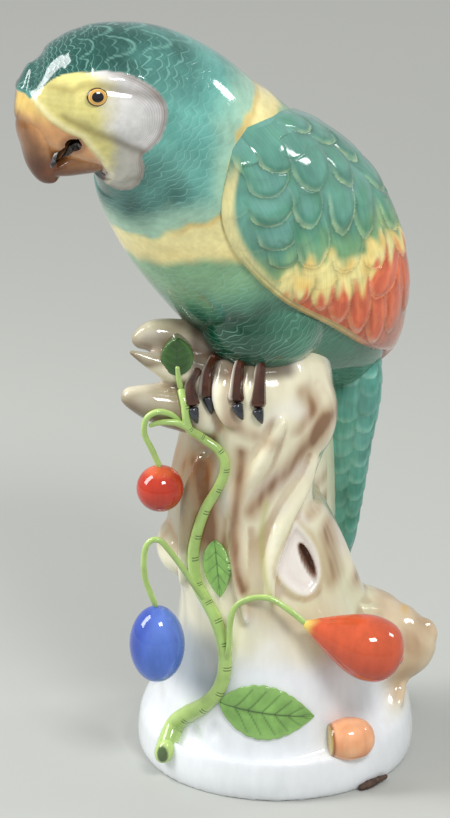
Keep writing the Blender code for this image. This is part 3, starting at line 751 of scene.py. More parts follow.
def cut(obj, cutters):
    """Takes closed cutters, in bmeshes, out of a piece."""
    helpers = []
    for number, bm in enumerate(cutters):
        mesh = bpy.data.meshes.new(f"cutter_{number}")
        bmesh.ops.recalc_face_normals(bm, faces=bm.faces)
        bm.to_mesh(mesh)
        bm.free()
        helper = bpy.data.objects.new(f"cutter_{number}", mesh)
        bpy.context.scene.collection.objects.link(helper)
        helpers.append(helper)
        boolean = obj.modifiers.new(f"cut_{number}", "BOOLEAN")
        boolean.operation = "DIFFERENCE"
        boolean.object = helper
        boolean.solver = "MANIFOLD"
    applied(obj)
    for helper in helpers:
        bpy.data.objects.remove(helper)
    obj.data.materials.clear()
    obj.data.shade_smooth()
    obj.data.set_sharp_from_angle(angle=math.radians(CUT_EDGE_DEG))
    return obj


def coordinates(mesh):
    """The points of a mesh in millimetres."""
    flat = np.empty(len(mesh.vertices) * 3, np.float32)
    mesh.vertices.foreach_get("co", flat)
    return flat.reshape(-1, 3).astype(float) / MM


def normals(mesh):
    """The ways out of a mesh at its points."""
    flat = np.empty(len(mesh.vertices) * 3, np.float32)
    mesh.vertices.foreach_get("normal", flat)
    return flat.reshape(-1, 3).astype(float)


def move_points(mesh, points):
    """Puts the points of a mesh, in millimetres, in their places."""
    mesh.vertices.foreach_set("co", (points * MM).astype(np.float32).ravel())
    mesh.update()


def paint_points(mesh, name, values):
    """Keeps a number or a colour for each point of a mesh, under a name that a glaze reads."""
    values = np.asarray(values, float)
    kind = "FLOAT_COLOR" if values.ndim == 2 else "FLOAT"
    layer = mesh.attributes.get(name) or mesh.attributes.new(name, kind, "POINT")
    if values.ndim == 2:
        values = np.concatenate([values, np.ones((len(values), 1))], axis=1)
        layer.data.foreach_set("color", values.astype(np.float32).ravel())
    else:
        layer.data.foreach_set("value", values.astype(np.float32))


def smoothed(mesh, rounds, share=0.5):
    """Points of a mesh after moving each towards the middle of its neighbours, a few times."""
    points = coordinates(mesh)
    edges = np.empty(len(mesh.edges) * 2, np.int32)
    mesh.edges.foreach_get("vertices", edges)
    edges = edges.reshape(-1, 2)
    count = np.bincount(edges.ravel(), minlength=len(points)).astype(float)
    count[count == 0] = 1
    for _ in range(rounds):
        total = np.empty_like(points)
        for axis in range(3):
            total[:, axis] = np.bincount(edges[:, 0], points[edges[:, 1], axis], len(points))
            total[:, axis] += np.bincount(edges[:, 1], points[edges[:, 0], axis], len(points))
        middle = total / count[:, None]
        points += (middle - points) * share
    return points


class Glaze:
    """A glaze whose node tree is built one step at a time."""

    refraction = 1.52
    coat = 0.35
    coat_roughness = 0.03
    cloud_roughness = 0.55

    def __init__(self, name, roughness=None):
        """A glossy glaze, as rough as the panel says or as given."""
        self.material = bpy.data.materials.new(name)
        self.material.use_nodes = True
        tree = self.material.node_tree
        self.nodes = tree.nodes
        self.links = tree.links
        self.shader = tree.nodes["Principled BSDF"]
        self.shader.inputs["Roughness"].default_value = settings().gloss if roughness is None else roughness
        self.shader.inputs["IOR"].default_value = self.refraction
        self.shader.inputs["Coat Weight"].default_value = self.coat
        self.shader.inputs["Coat Roughness"].default_value = self.coat_roughness

    def feed(self, socket, value):
        """Links a socket to a value, or sets it."""
        if isinstance(value, bpy.types.NodeSocket):
            self.links.new(value, socket)
        elif isinstance(value, (tuple, list)) or hasattr(value, "__len__"):
            socket.default_value = (*value, 1) if len(socket.default_value) == 4 else tuple(value)
        else:
            socket.default_value = value

    def math(self, operation, first, second=0.0, third=0.0):
        """One sum on up to three values."""
        node = self.nodes.new("ShaderNodeMath")
        node.operation = operation
        for socket, value in zip(node.inputs, (first, second, third)):
            self.feed(socket, value)
        return node.outputs[0]

    def product(self, first, *others):
        """Several values multiplied."""
        for other in others:
            first = self.math("MULTIPLY", first, other)
        return first

    def ramp(self, value, low, high, to_low=0.0, to_high=1.0):
        """Carries a value smoothly from one range to another."""
        node = self.nodes.new("ShaderNodeMapRange")
        node.interpolation_type = "SMOOTHSTEP"
        names = ("Value", "From Min", "From Max", "To Min", "To Max")
        for name, number in zip(names, (value, low, high, to_low, to_high)):
            self.feed(node.inputs[name], number)
        return node.outputs[0]

    def mix(self, share, first, second, kind="MIX"):
        """Mixes two colours."""
        node = self.nodes.new("ShaderNodeMix")
        node.data_type = "RGBA"
        node.blend_type = kind
        self.feed(node.inputs["Factor"], share)
        self.feed(node.inputs[6], first)
        self.feed(node.inputs[7], second)
        return node.outputs[2]

    def attribute(self, name, colour=False):
        """A value kept on the piece's points."""
        node = self.nodes.new("ShaderNodeAttribute")
        node.attribute_name = name
        return node.outputs["Color" if colour else "Fac"]

    def place(self):
        """The place on the piece, in metres."""
        return self.nodes.new("ShaderNodeTexCoord").outputs["Object"]

    def uv(self):
        """The places round and along a skin, as two values."""
        node = self.nodes.new("ShaderNodeUVMap")
        node.uv_map = "UVMap"
        split = self.nodes.new("ShaderNodeSeparateXYZ")
        self.links.new(node.outputs[0], split.inputs[0])
        return split.outputs[0], split.outputs[1]

    def combine(self, x, y, z=0.0):
        """A vector of three values."""
        node = self.nodes.new("ShaderNodeCombineXYZ")
        for socket, value in zip(node.inputs, (x, y, z)):
            self.feed(socket, value)
        return node.outputs[0]

    def stretch(self, vector, scale):
        """A vector stretched along its axes."""
        node = self.nodes.new("ShaderNodeMapping")
        self.links.new(vector, node.inputs["Vector"])
        node.inputs["Scale"].default_value = scale
        return node.outputs[0]

    def noise(self, vector, scale, detail=3.0):
        """Cloudy noise from 0 to 1."""
        node = self.nodes.new("ShaderNodeTexNoise")
        self.links.new(vector, node.inputs["Vector"])
        node.inputs["Scale"].default_value = scale
        node.inputs["Detail"].default_value = detail
        node.inputs["Roughness"].default_value = self.cloud_roughness
        return node.outputs[0]

    def tone(self, colour, value, dark, light):
        """Darkens and lightens a colour by a value from 0 to 1."""
        strength = self.ramp(value, 0.25, 0.75, dark, light)
        node = self.nodes.new("ShaderNodeHueSaturation")
        self.feed(node.inputs["Color"], colour)
        self.feed(node.inputs["Value"], strength)
        return node.outputs[0]

    def relief(self, height, distance, strength=1.0):
        """Bumps the surface by a height."""
        node = self.nodes.new("ShaderNodeBump")
        node.inputs["Distance"].default_value = distance
        node.inputs["Strength"].default_value = strength
        self.feed(node.inputs["Height"], height)
        self.links.new(node.outputs[0], self.shader.inputs["Normal"])

    def done(self, colour):
        """Paints the glaze and gives its material."""
        self.feed(self.shader.inputs["Base Color"], colour)
        return self.material


def scales(glaze, across, down):
    """Overlapping feathers with rounded tips: reach, which is 1 on the rim, and where they are."""
    row = glaze.math("FLOOR", down)
    inner = glaze.math("SUBTRACT", down, row)
    stagger = glaze.product(glaze.math("PINGPONG", row, 1.0), 0.5)
    shifted = glaze.math("SUBTRACT", glaze.math("FRACT", glaze.math("ADD", across, stagger)), 0.5)
    width = glaze.product(shifted, 1.9)
    reach = glaze.math("MULTIPLY_ADD", glaze.math("POWER", width, 2.0), 0.5, inner)
    return reach, glaze.ramp(reach, 1.06, 0.98)


def feathered(name, row_step, rim_colour, rim_strength):
    """A glaze with hair-line strokes for small feathers, painted shade at their bases, and its colour over
    the points' paint.
    """
    glaze = Glaze(name)
    u, _ = glaze.uv()
    place = glaze.place()
    wander = glaze.math("SUBTRACT", glaze.noise(place, 70.0, 2.0), 0.5)
    round_it = float(settings().scallops_round)
    across = glaze.math("MULTIPLY_ADD", u, round_it, glaze.product(wander, 2.2))
    down = glaze.math("MULTIPLY_ADD", glaze.attribute("down"), 1 / row_step, glaze.product(wander, 3.4))
    reach, over = scales(glaze, across, down)
    feathers = glaze.attribute("feathers")
    colour = glaze.tone(glaze.attribute("paint", True), glaze.noise(place, 45.0, 4.0), 0.80, 1.16)
    colour = glaze.tone(colour, glaze.noise(place, 260.0, 3.0), 0.92, 1.07)
    # Darker at the base of each small feather, under the one above: painted shade.
    shaded = glaze.mix(1.0, colour, (0.4, 0.6, 0.55), "MULTIPLY")
    colour = glaze.mix(glaze.product(glaze.ramp(reach, 0.8, 0.3), feathers, 0.12), colour, shaded)
    strokes = glaze.ramp(glaze.math("SINE", glaze.product(reach, 13.0)), -0.2, 1.0)
    faint = glaze.ramp(glaze.noise(place, 34.0, 2.0), 0.35, 0.65, 0.25, 1.0)
    strokes = glaze.product(strokes, over, glaze.ramp(reach, 0.35, 0.6), feathers, faint, rim_strength)
    glaze.relief(glaze.product(reach, over, feathers), settings().scallop_relief)
    return glaze, glaze.mix(strokes, colour, rim_colour)


def folded(bearing):
    """A bearing on either side of the bird as its twin on the near side, for an array."""
    bearing = (np.asarray(bearing) + 90) % 360 - 90
    return np.where(bearing > 90, 180 - bearing, bearing)


def oval_bump(at, bearing, place, half, height):
    """A rounded swelling on the skin."""
    along = (length_at(at) - length_at(place[0])) / half[0]
    round_it = np.radians(bearing - place[1]) * HEAD_RADIUS / half[1]
    return height * np.clip(1 - along**2 - round_it**2, 0, None) ** 0.8


# Radii at which places round the head and the body are laid flat.
HEAD_RADIUS = 31.0
BODY_RADIUS = 52.0
# Swellings of the head: place, half sizes along and round, and height.
CHEEK = ((9.2, 6), (20, 19), 3.4)
JOWL = ((8.15, -48), (11.5, 12), 4.2)
BROW = ((9.9, 27), (14, 6), 1.2)
# Depth and half width of the creases.
BROW_CREASE_CUT = (0.9, 2.0)
JAW_CREASE_CUT = (1.5, 1.8)
BEAK_RIDGE_HEIGHT = 1.3
PLUMAGE_STEP = 0.9
# Larger moulded feathers over the crown and nape: station and bearing of the tip, half length and
# half width.
CROWN_FEATHERS = (
    (9.5, 90, 9, 8), (9.1, 76, 9, 7), (9.1, 104, 9, 7), (8.75, 54, 10, 8), (8.75, 128, 10, 8),
    (8.4, 89, 9, 8), (8.1, 63, 9, 7), (8.1, 117, 9, 7), (7.7, 79, 9, 7), (7.7, 101, 9, 7),
    (9.6, 58, 9, 7), (9.6, 122, 9, 7),
)
CROWN_STEP = 1.3


def horn_depth(points):
    """Millimetres in front of the edge between the beak and the face, less than 0 behind it."""
    return outline_distance(points[:, [0, 2]], HORN_OUTLINE)


def face_depth(at, side):
    """Millimetres inside the bare face at a station and a near-side bearing."""
    outline = unrolled_line((*FACE_EDGE, FACE_EDGE[0]), HEAD_RADIUS, 4)[:-1]
    return outline_distance(unrolled(at, side, HEAD_RADIUS), outline)


def face_relief(at, side):
    """Swellings and creases of the head."""
    flat = unrolled(at, side, HEAD_RADIUS)
    lift = oval_bump(at, side, *CHEEK) + oval_bump(at, side, *JOWL) + oval_bump(at, side, *BROW)
    for crease, (depth, half) in ((BROW_CREASE, BROW_CREASE_CUT), (JAW_CREASE, JAW_CREASE_CUT)):
        lift -= depth * bell(line_distance(flat, unrolled_line(crease, HEAD_RADIUS)), half)
    return lift


def crown_feathers(at, bearing):
    """Height of the larger crown feathers, and how near a place is to the rim of one, 0 to 1."""
    lift = np.zeros_like(at)
    near = np.zeros_like(at)
    for station, centre, half_long, half_wide in CROWN_FEATHERS:
        along = (length_at(station) - length_at(at)) / half_long + 1
        across = np.radians(bearing - centre) * HEAD_RADIUS / half_wide
        reach = np.hypot(np.clip(along, 0, None), across)
        tip = CROWN_STEP * rise(-1.6, 0.9, along) * rise(1.08, 0.85, reach)
        near = np.where(tip > lift, reach * rise(-0.6, 0.3, along), near)
        lift = np.maximum(lift, tip)
    return lift, near


def thigh_relief(points, outs):
    """How far the thighs push the skin out."""
    lift = np.zeros(len(points))
    for centre, half in THIGHS:
        start = (points - np.array(centre)) / np.array(half)
        way = outs / np.array(half)
        a = (way**2).sum(1)
        b = (start * way).sum(1)
        inside = b * b - a * ((start**2).sum(1) - 1)
        far = np.where(inside > 0, (-b + np.sqrt(np.clip(inside, 0, None))) / a, 0)
        lift = np.maximum(lift, np.where((start**2).sum(1) < 1, far, 0))
    return lift


def plumage_paint(points, at, side, top, low):
    """Teal head, yellow collar and green breast, darker green below as painted shade under the bird; and how
    much of the collar each place has.
    """
    look = settings()
    length = length_at(at)
    crown = rise(196, 236, length + 8 * ripple(points, 30.0, 6.0)) * rise(12, 36, side)
    crown = np.maximum(crown, rise(245, 258, length) * rise(-10, 20, side))
    throat = rise(160, 182, length) * rise(-10, -34, side) * (0.7 + 0.3 * ripple(points, 24.0, 2.7))
    head = blend(look.teal, look.teal_dark, np.clip(0.92 * crown + 0.85 * throat, 0, 1))
    nape = blend(look.teal_light, look.collar_yellow, np.full(len(at), 0.25))
    head = blend(head, nape, 0.75 * rise(14, 2, top))
    # The breast darkens towards the underside, and the belly takes a dark green: painted shade under the
    # bird.
    breast = blend(look.breast_green, srgb(84, 144, 118), rise(-10, -36, low))
    underside_shade = rise(-26, -44, low + 5 * ripple(points, 22.0, 5.0)) * (0.3 + 0.7 * rise(12, -22, points[:, 0]))
    breast = blend(breast, look.underside_shade_green, underside_shade)
    collar = rise(-4.5, 3.0, low) * rise(1.4, -1.4, top)
    shade = 0.5 + 0.5 * ripple(points, 30.0, 1.0)
    gold = blend(look.collar_yellow, srgb(236, 206, 128), 0.5 * shade * rise(4, -8, low - 8))
    gold = blend(gold, srgb(205, 165, 80), 0.6 * bell(top + 1.5, 1.6) * rise(-58, -40, side))
    return blend(blend(breast, head, rise(-1, 1, top)), gold, collar), collar


def face_paint(points, side, flat, face, grey_from, wobble):
    """Bare skin: yellow round the eye, grey behind, shaded in the creases and at its rim."""
    look = settings()
    grey = blend(look.cheek_grey, srgb(176, 172, 156), 0.7 * rise(-20, -27, side))
    skin = blend(grey, look.face_yellow, rise(-5, 6, grey_from + wobble))
    brow = line_distance(flat, unrolled_line(BROW_CREASE, HEAD_RADIUS))
    jaw = line_distance(flat, unrolled_line(JAW_CREASE, HEAD_RADIUS))
    shadow = np.clip(0.6 * bell(brow, 2.2) + 0.8 * bell(jaw, 2.0), 0, 0.9)
    shade = blend(srgb(125, 118, 108), srgb(165, 150, 85), rise(-3, 6, grey_from))
    skin = blend(skin, shade, shadow)
    skin = blend(skin, srgb(128, 112, 100), 0.6 * bell(face - 1.0, 1.4) * rise(0, -10, grey_from))
    pleats = 0.5 + 0.5 * np.sin(flat[:, 1] * 2.2 + 1.5 * ripple(points, 14.0))
    return blend(skin, srgb(206, 190, 110), 0.22 * pleats * rise(2, 8, grey_from))


# A depth inside the bare face that no skin has, for the beak's part of it.
FACE_DEPTH_OF_HORN = 30


def body_paint(at, bearing, points):
    """What each place on the skin keeps: its paint, how feathered it is, its face depth and greyness."""
    side = folded(bearing)
    face = face_depth(at, side)
    flat = unrolled(at, side, HEAD_RADIUS)
    wobble = 1.3 * ripple(points, 16.0)
    top = past_line(at, side, COLLAR_TOP) + wobble
    low = past_line(at, side, COLLAR_LOW) + 1.5 * wobble
    grey_from = past_line(at, side, GREY_LINE)
    colour, collar = plumage_paint(points, at, side, top, low)
    skin = face_paint(points, side, flat, face, grey_from, wobble)
    colour = blend(colour, skin, rise(-0.25, 0.25, face))
    horn = horn_depth(points)
    colour = blend(colour, srgb(246, 236, 190), 0.6 * bell(horn + 1.6, 1.3) * (face > 0))
    in_horn = rise(-0.3, 0.5, horn) * rise(366, 360, points[:, 2]) * (face > -2)
    return {
        "paint": blend(colour, beak_paint(points), in_horn),
        "feathers": (1 - rise(-0.4, 0.2, face)) * (1 - 0.9 * collar) * (1 - in_horn),
        "face": np.where(in_horn > 0.5, FACE_DEPTH_OF_HORN, face),
        "grey": rise(0, -12, grey_from) * rise(0, 0.6, face),
    }


def body_relief(at, bearing, points, outs):
    """How far the skin stands out, and how near each place is to the rim of a crown feather."""
    side = folded(bearing)
    crown, near = crown_feathers(at, bearing)
    crown -= CROWN_STEP * rise(195, 215, length_at(at)) * rise(20, 45, side)
    lift = face_relief(at, side) + crown - PLUMAGE_STEP * rise(-1.6, 0.2, face_depth(at, side))
    top = past_line(at, side, COLLAR_TOP)
    ruff = rise(-0.6, 0.8, top) * rise(14, 0, top) * rise(-60, -40, side) * rise(20, 0, side)
    lift = np.maximum(lift + PLUMAGE_STEP * ruff, thigh_relief(points, outs))
    ridge = bell(horn_depth(points) + 1.2, 1.9) * rise(310, 325, points[:, 2])
    return lift + BEAK_RIDGE_HEIGHT * ridge, near


class PARROT_OT_body(bpy.types.Operator):
    """Body, neck and head with the bare face, cheeks and thighs"""

    bl_idname = "parrot.body"
    bl_label = "Body and head"

    around = 212
    along = 270
    cap_rows = 8
    forehead = 3.5
    feather_row = 2.9
    stroke_strength = 0.42

    def execute(self, context):
        look = settings()
        bm, places = rolled_grid(self.around, self.along)
        last = len(BIRD_STATIONS) - 1
        cap = self.cap_rows / self.along
        rows = []
        for u, v in places:
            bearing = 360 * u - 90
            dome = math.sin(max(v - 1 + cap, 0) / cap * math.pi / 2)
            at = min(last * v / (1 - cap), last)
            point, out = loft_point(BIRD_STATIONS, at, bearing, dome, self.forehead)
            rows.append((at, bearing, *point, *out))
        rows = np.array(rows)
        at, bearing, points, outs = rows[:, 0], rows[:, 1], rows[:, 2:5], rows[:, 5:8]
        lift, near = body_relief(at, bearing, points, outs)
        points = points + outs * lift[:, None]
        tree = KDTree(len(points))
        for number, point in enumerate(points):
            tree.insert(point, number)
        tree.balance()
        roll_up(bm, points)
        obj = piece("parrot_body", bm)
        move_points(obj.data, smoothed(obj.data, 3, 0.4))
        cut(obj, mouth_cutters())
        mesh = obj.data
        points = coordinates(mesh)
        nearest = np.array([tree.find(point)[1] for point in points])
        at, bearing, near = at[nearest], bearing[nearest], near[nearest]
        kept = body_paint(at, bearing, points)
        arcs = rise(0.2, 0.9, np.sin(near * 19)) * rise(0.5, 0.7, near) * rise(1.06, 0.99, near)
        kept["paint"] = blend(kept["paint"], look.teal_light, 0.4 * arcs * (kept["face"] < -1))
        kept["feathers"] = kept["feathers"] * rise(1.0, 0.3, near)
        kept["down"] = -length_at(at)
        for name, values in kept.items():
            paint_points(mesh, name, values)
        glaze, colour = feathered(
            "plumage_glaze", self.feather_row, tuple(look.teal_light), self.stroke_strength
        )
        depth = glaze.attribute("face")
        lines = glaze.ramp(glaze.math("SINE", glaze.product(depth, 6.5)), 0.0, 1.0)
        lines = glaze.product(lines, glaze.attribute("grey"), glaze.ramp(depth, 0.0, 14.0, 0.35, 0.0))
        mesh.materials.append(glaze.done(glaze.mix(lines, colour, srgb(110, 100, 100))))
        paint_mouth_shade(obj)
        return {"FINISHED"}


def mouth_matrix():
    """The place of the mouth, X along it towards its corner and Y through the head."""
    yaw = Matrix.Rotation(math.radians(HEAD_YAW), 4, "Z")
    slope = Matrix.Rotation(math.radians(-MOUTH_SLOPE), 4, "Y")
    return Matrix.Translation(MOUTH_PLACE) @ yaw @ slope


def mouth_cutters():
    """The slot between the beaks and its rounder corner, cut through the head."""
    cutters = []
    for back, half in (
        (0, MOUTH_HALF),
        (MOUTH_CORNER_BACK, (MOUTH_CORNER_RADIUS, MOUTH_CORNER_RADIUS)),
    ):
        bm = bmesh.new()
        place = mouth_matrix() @ Matrix.Translation((back, 0, 0)) @ Matrix.Rotation(math.pi / 2, 4, "X")
        bmesh.ops.create_cone(
            bm, cap_ends=True, segments=40, radius1=1, radius2=1, depth=MOUTH_CUT,
            matrix=Matrix.Scale(MM, 4) @ place @ Matrix.Diagonal((*half, 1, 1)),
        )
        cutters.append(bm)
    return cutters


def mouth_reach(points):
    """How far places are from the mouth's walls, 1 on them, less than 1 inside the mouth."""
    inverse = np.array(mouth_matrix().inverted())
    local = points @ inverse[:3, :3].T + inverse[:3, 3]
    slot = np.hypot(local[:, 0] / MOUTH_HALF[0], local[:, 2] / MOUTH_HALF[1])
    corner = np.hypot(local[:, 0] - MOUTH_CORNER_BACK, local[:, 2]) / MOUTH_CORNER_RADIUS
    return np.minimum(slot, corner)


def paint_mouth_shade(obj):
    """Paints the walls of the mouth dark brown, as painted shade of its hollow."""
    glaze = Glaze("mouth_shade_glaze", 0.12)
    cloud = glaze.noise(glaze.place(), 300.0)
    # Dark brown on the mouth's walls: painted shade inside the mouth.
    obj.data.materials.append(glaze.done(glaze.tone(srgb(84, 56, 36), cloud, 0.5, 1.3)))
    dark = len(obj.data.materials) - 1
    centres = np.array([polygon.center for polygon in obj.data.polygons]) / MM
    inside = mouth_reach(centres) < 1.004
    for polygon, within in zip(obj.data.polygons, inside):
        if within:
            polygon.material_index = dark


def beak_paint(points):
    """Yellowish horn above, orange in the middle, brown on the ridge, at the tip and round the mouth."""
    look = settings()
    x, y, z = points.T
    colour = blend(srgb(232, 200, 118), look.horn, rise(356, 344, z))
    front = rise(-106, -117, x + 0.35 * (z - 340)) * rise(356, 346, z)
    colour = blend(colour, srgb(104, 64, 34), 0.85 * front)
    ridge = rise(6.5, 0.5, np.abs(y + 57.5)) * rise(-107, -114, x)
    colour = blend(colour, look.horn_brown, 0.8 * ridge)
    colour = blend(colour, srgb(92, 48, 24), 0.92 * rise(338, 323, z + 0.12 * (x + 105)))
    colour = blend(colour, srgb(120, 66, 36), 0.6 * rise(2.0, 1.1, mouth_reach(points)))
    smear = rise(0.1, 0.8, ripple(points, 16.0, 3.0))
    return blend(colour, look.horn_brown, 0.16 * smear)


class PARROT_OT_beak(bpy.types.Operator):
    """Hooked upper and lower beak with the open mouth, and the tongue"""

    bl_idname = "parrot.beak"
    bl_label = "Beak and tongue"

    grain = 0.6
    tip_depth = 1.2

    def execute(self, context):
        whole = bmesh.new()
        for stations in (UPPER_BEAK_STATIONS, LOWER_BEAK_STATIONS):
            gather(whole, domed_loft(stations, 48, 48, (0.0, self.tip_depth)))
        obj = piece("beak", whole)
        remesh = obj.modifiers.new("joined", "REMESH")
        remesh.mode = "VOXEL"
        remesh.voxel_size = self.grain * MM
        applied(obj)
        move_points(obj.data, smoothed(obj.data, 8))
        cut(obj, mouth_cutters())
        points = coordinates(obj.data)
        paint_points(obj.data, "paint", beak_paint(points))
        glaze = Glaze("horn_glaze")
        place = glaze.place()
        grain = glaze.noise(glaze.stretch(place, (1.0, 1.0, 0.25)), 420.0, 4.0)
        colour = glaze.tone(glaze.attribute("paint", True), grain, 0.86, 1.1)
        obj.data.materials.append(glaze.done(colour))
        paint_mouth_shade(obj)
        tongue = ball((0, 0, 0), TONGUE_HALF, mouth_matrix() @ Matrix.Translation(TONGUE_PLACE), 32, 16)
        glaze = Glaze("tongue_glaze")
        shade = glaze.noise(glaze.place(), 250.0)
        piece("tongue", tongue, glaze.done(glaze.tone(srgb(150, 104, 66), shade, 0.7, 1.2)))
        return {"FINISHED"}


class PARROT_OT_eyes(bpy.types.Operator):
    """Painted eyes on low domes"""

    bl_idname = "parrot.eyes"
    bl_label = "Eyes"

    def execute(self, context):
        glaze = Glaze("eye_glaze", 0.05)
        look = settings()
        reach = glaze.attribute("reach")
        colour = glaze.mix(glaze.ramp(reach, 0.84, 0.89), tuple(look.iris), srgb(50, 34, 18))
        ring = glaze.math("MULTIPLY", glaze.ramp(reach, 0.64, 0.68), glaze.ramp(reach, 0.76, 0.70))
        colour = glaze.mix(glaze.math("MULTIPLY", ring, 0.55), colour, srgb(150, 96, 40))
        colour = glaze.mix(glaze.ramp(reach, 0.60, 0.54), colour, srgb(14, 13, 18))
        material = glaze.done(colour)
        for name, mirror in (("eye_near", False), ("eye_far", True)):
            at, bearing = EYE_PLACE
            bearing = 180 - bearing if mirror else bearing
            lift = float(face_relief(np.array([at]), np.array([EYE_PLACE[1]]))[0])
            centre, out = bird_skin(at, bearing, lift - 0.9)
            ahead = bird_skin(at + 0.1, bearing)[0] - bird_skin(at - 0.1, bearing)[0]
            ahead = (ahead - out * ahead.dot(out)).normalized()
            turn = Matrix((ahead, out.cross(ahead), out)).transposed().to_4x4()
            bm = ball(centre, EYE_HALF, turn, 48, 32)
            obj = piece(name, bm, material)
            points = coordinates(obj.data) - np.array(centre)
            along = points @ np.array(ahead) / EYE_HALF[0]
            round_it = points @ np.array(out.cross(ahead)) / EYE_HALF[1]
            height = points @ np.array(out)
            reach = np.hypot(along, round_it)
            paint_points(obj.data, "reach", np.where(height < 0, 1.0, reach))
        return {"FINISHED"}


def wing_rows(at):
    """Front and back bearing of the wing at stations, and how far it stands off towards each."""
    rows = sorted(rounded(WING_ROWS, 4))
    stations, *columns = zip(*rows)
    return [np.interp(at, stations, column) for column in columns]


def wing_lift(at, share):
    """How far the wing stands off the body at stations, by the share across it from -1 to 1."""
    _, _, front_lift, back_lift = wing_rows(at)
    lift = front_lift + (back_lift - front_lift) * (share + 1) / 2
    return WING_EDGE_LIFT + lift * np.sqrt(1 - np.abs(share) ** WING_EDGE_POWER)


def feather_layout(along, across):
    """The uppermost feather at places on a wing: height, distance from its rim, vane and row."""
    lean = math.radians(FEATHER_LEAN)
    down = along * math.cos(lean) - across * math.sin(lean)
    over = along * math.sin(lean) + across * math.cos(lean)
    height = np.zeros_like(along)
    rim = np.full_like(along, 30.0)
    vane = np.zeros_like(along)
    row_of = np.full_like(along, float(len(FEATHER_ROWS)))
    shadow = np.zeros_like(along)
    free = np.ones(len(along), bool)
    for number, (tip, drop, first, spacing, length, step, point) in enumerate(FEATHER_ROWS):
        index = np.round((over - first) / spacing)
        edge = np.full_like(along, -1e9)
        for extra in (-1, 0, 1):
            feather = index + extra
            middle = first + feather * spacing
            x = (over - middle) / (0.56 * spacing)
            jitter = 1.6 * np.sin(feather * 2.4 + number * 1.7)
            reach = tip + jitter + drop * (middle - 60) - point * (1 - np.sqrt(np.clip(1 - x * x, 0, 1)))
            reach = np.where(np.abs(x) < 1, reach, -1e9)
            better = reach > edge
            edge = np.where(better, reach, edge)
            vane = np.where(better & free, x + 10 * (feather % 7), vane)
        inside = edge - down
        covered = free & (inside > 0)
        slope = np.clip(1 - inside / length, 0, 1)
        lifted = step * (0.25 + 0.75 * slope) * rise(0, 1.1, inside)
        height = np.where(covered, lifted, height)
        rim = np.where(covered, inside, rim)
        row_of = np.where(covered, float(number), row_of)
        shadow = np.where(free & ~covered, np.maximum(shadow, np.exp(inside / 2.2) * (inside > -20)), shadow)
        free &= ~covered
    return height, rim, vane, row_of, shadow, down, over


def lay_larger_feathers(along, across, layout):
    """Lays the larger feathers over the rows of a wing."""
    height, rim, vane, row_of, shadow, down, over = layout
    under = 0.45 * height
    height, shadow = under.copy(), 0.35 * shadow
    tipness = np.full_like(along, 0.35)
    free = np.ones(len(along), bool)
    for number, (base, tip, half) in enumerate(WING_FEATHERS):
        base = np.array(base, float)
        run = np.array(tip, float) - base
        size = np.linalg.norm(run)
        offset = np.stack([along, across], axis=-1) - base
        share = offset @ run / size**2
        side = (offset[:, 1] * run[0] - offset[:, 0] * run[1]) / size / half
        round_end = np.clip((share - 0.4) / 0.6, 0, None) * (1 + 0.15 * np.abs(side))
        inside = (1 - np.hypot(side, round_end)) * half
        root = rise(-0.45, 0.25, share)
        covered = free & (inside > 0) & (root > 0.02)
        lifted = WING_FEATHER_STEP * (0.35 + 0.65 * np.clip(share, 0, 1)) * rise(0, 1.6, inside) * root
        lifted += 0.09 * half * np.clip(1 - side**2, 0, 1) * np.sin(math.pi * np.clip(share + 0.1, 0, 1))
        height = np.where(covered, under + lifted, height)
        rim = np.where(covered, inside, rim)
        tipness = np.where(covered, rise(0.0, 0.6, share), tipness)
        vane = np.where(covered, side + 10 * number, vane)
        row_of = np.where(covered, 20.0 + number, row_of)
        close = np.exp(np.clip(inside, -20, 0) / 1.6) * rise(0.1, 0.5, share)
        shadow = np.where(free & ~covered, np.maximum(shadow, close), shadow)
        free &= ~covered
    return height, rim, vane, row_of, shadow, down, over, tipness


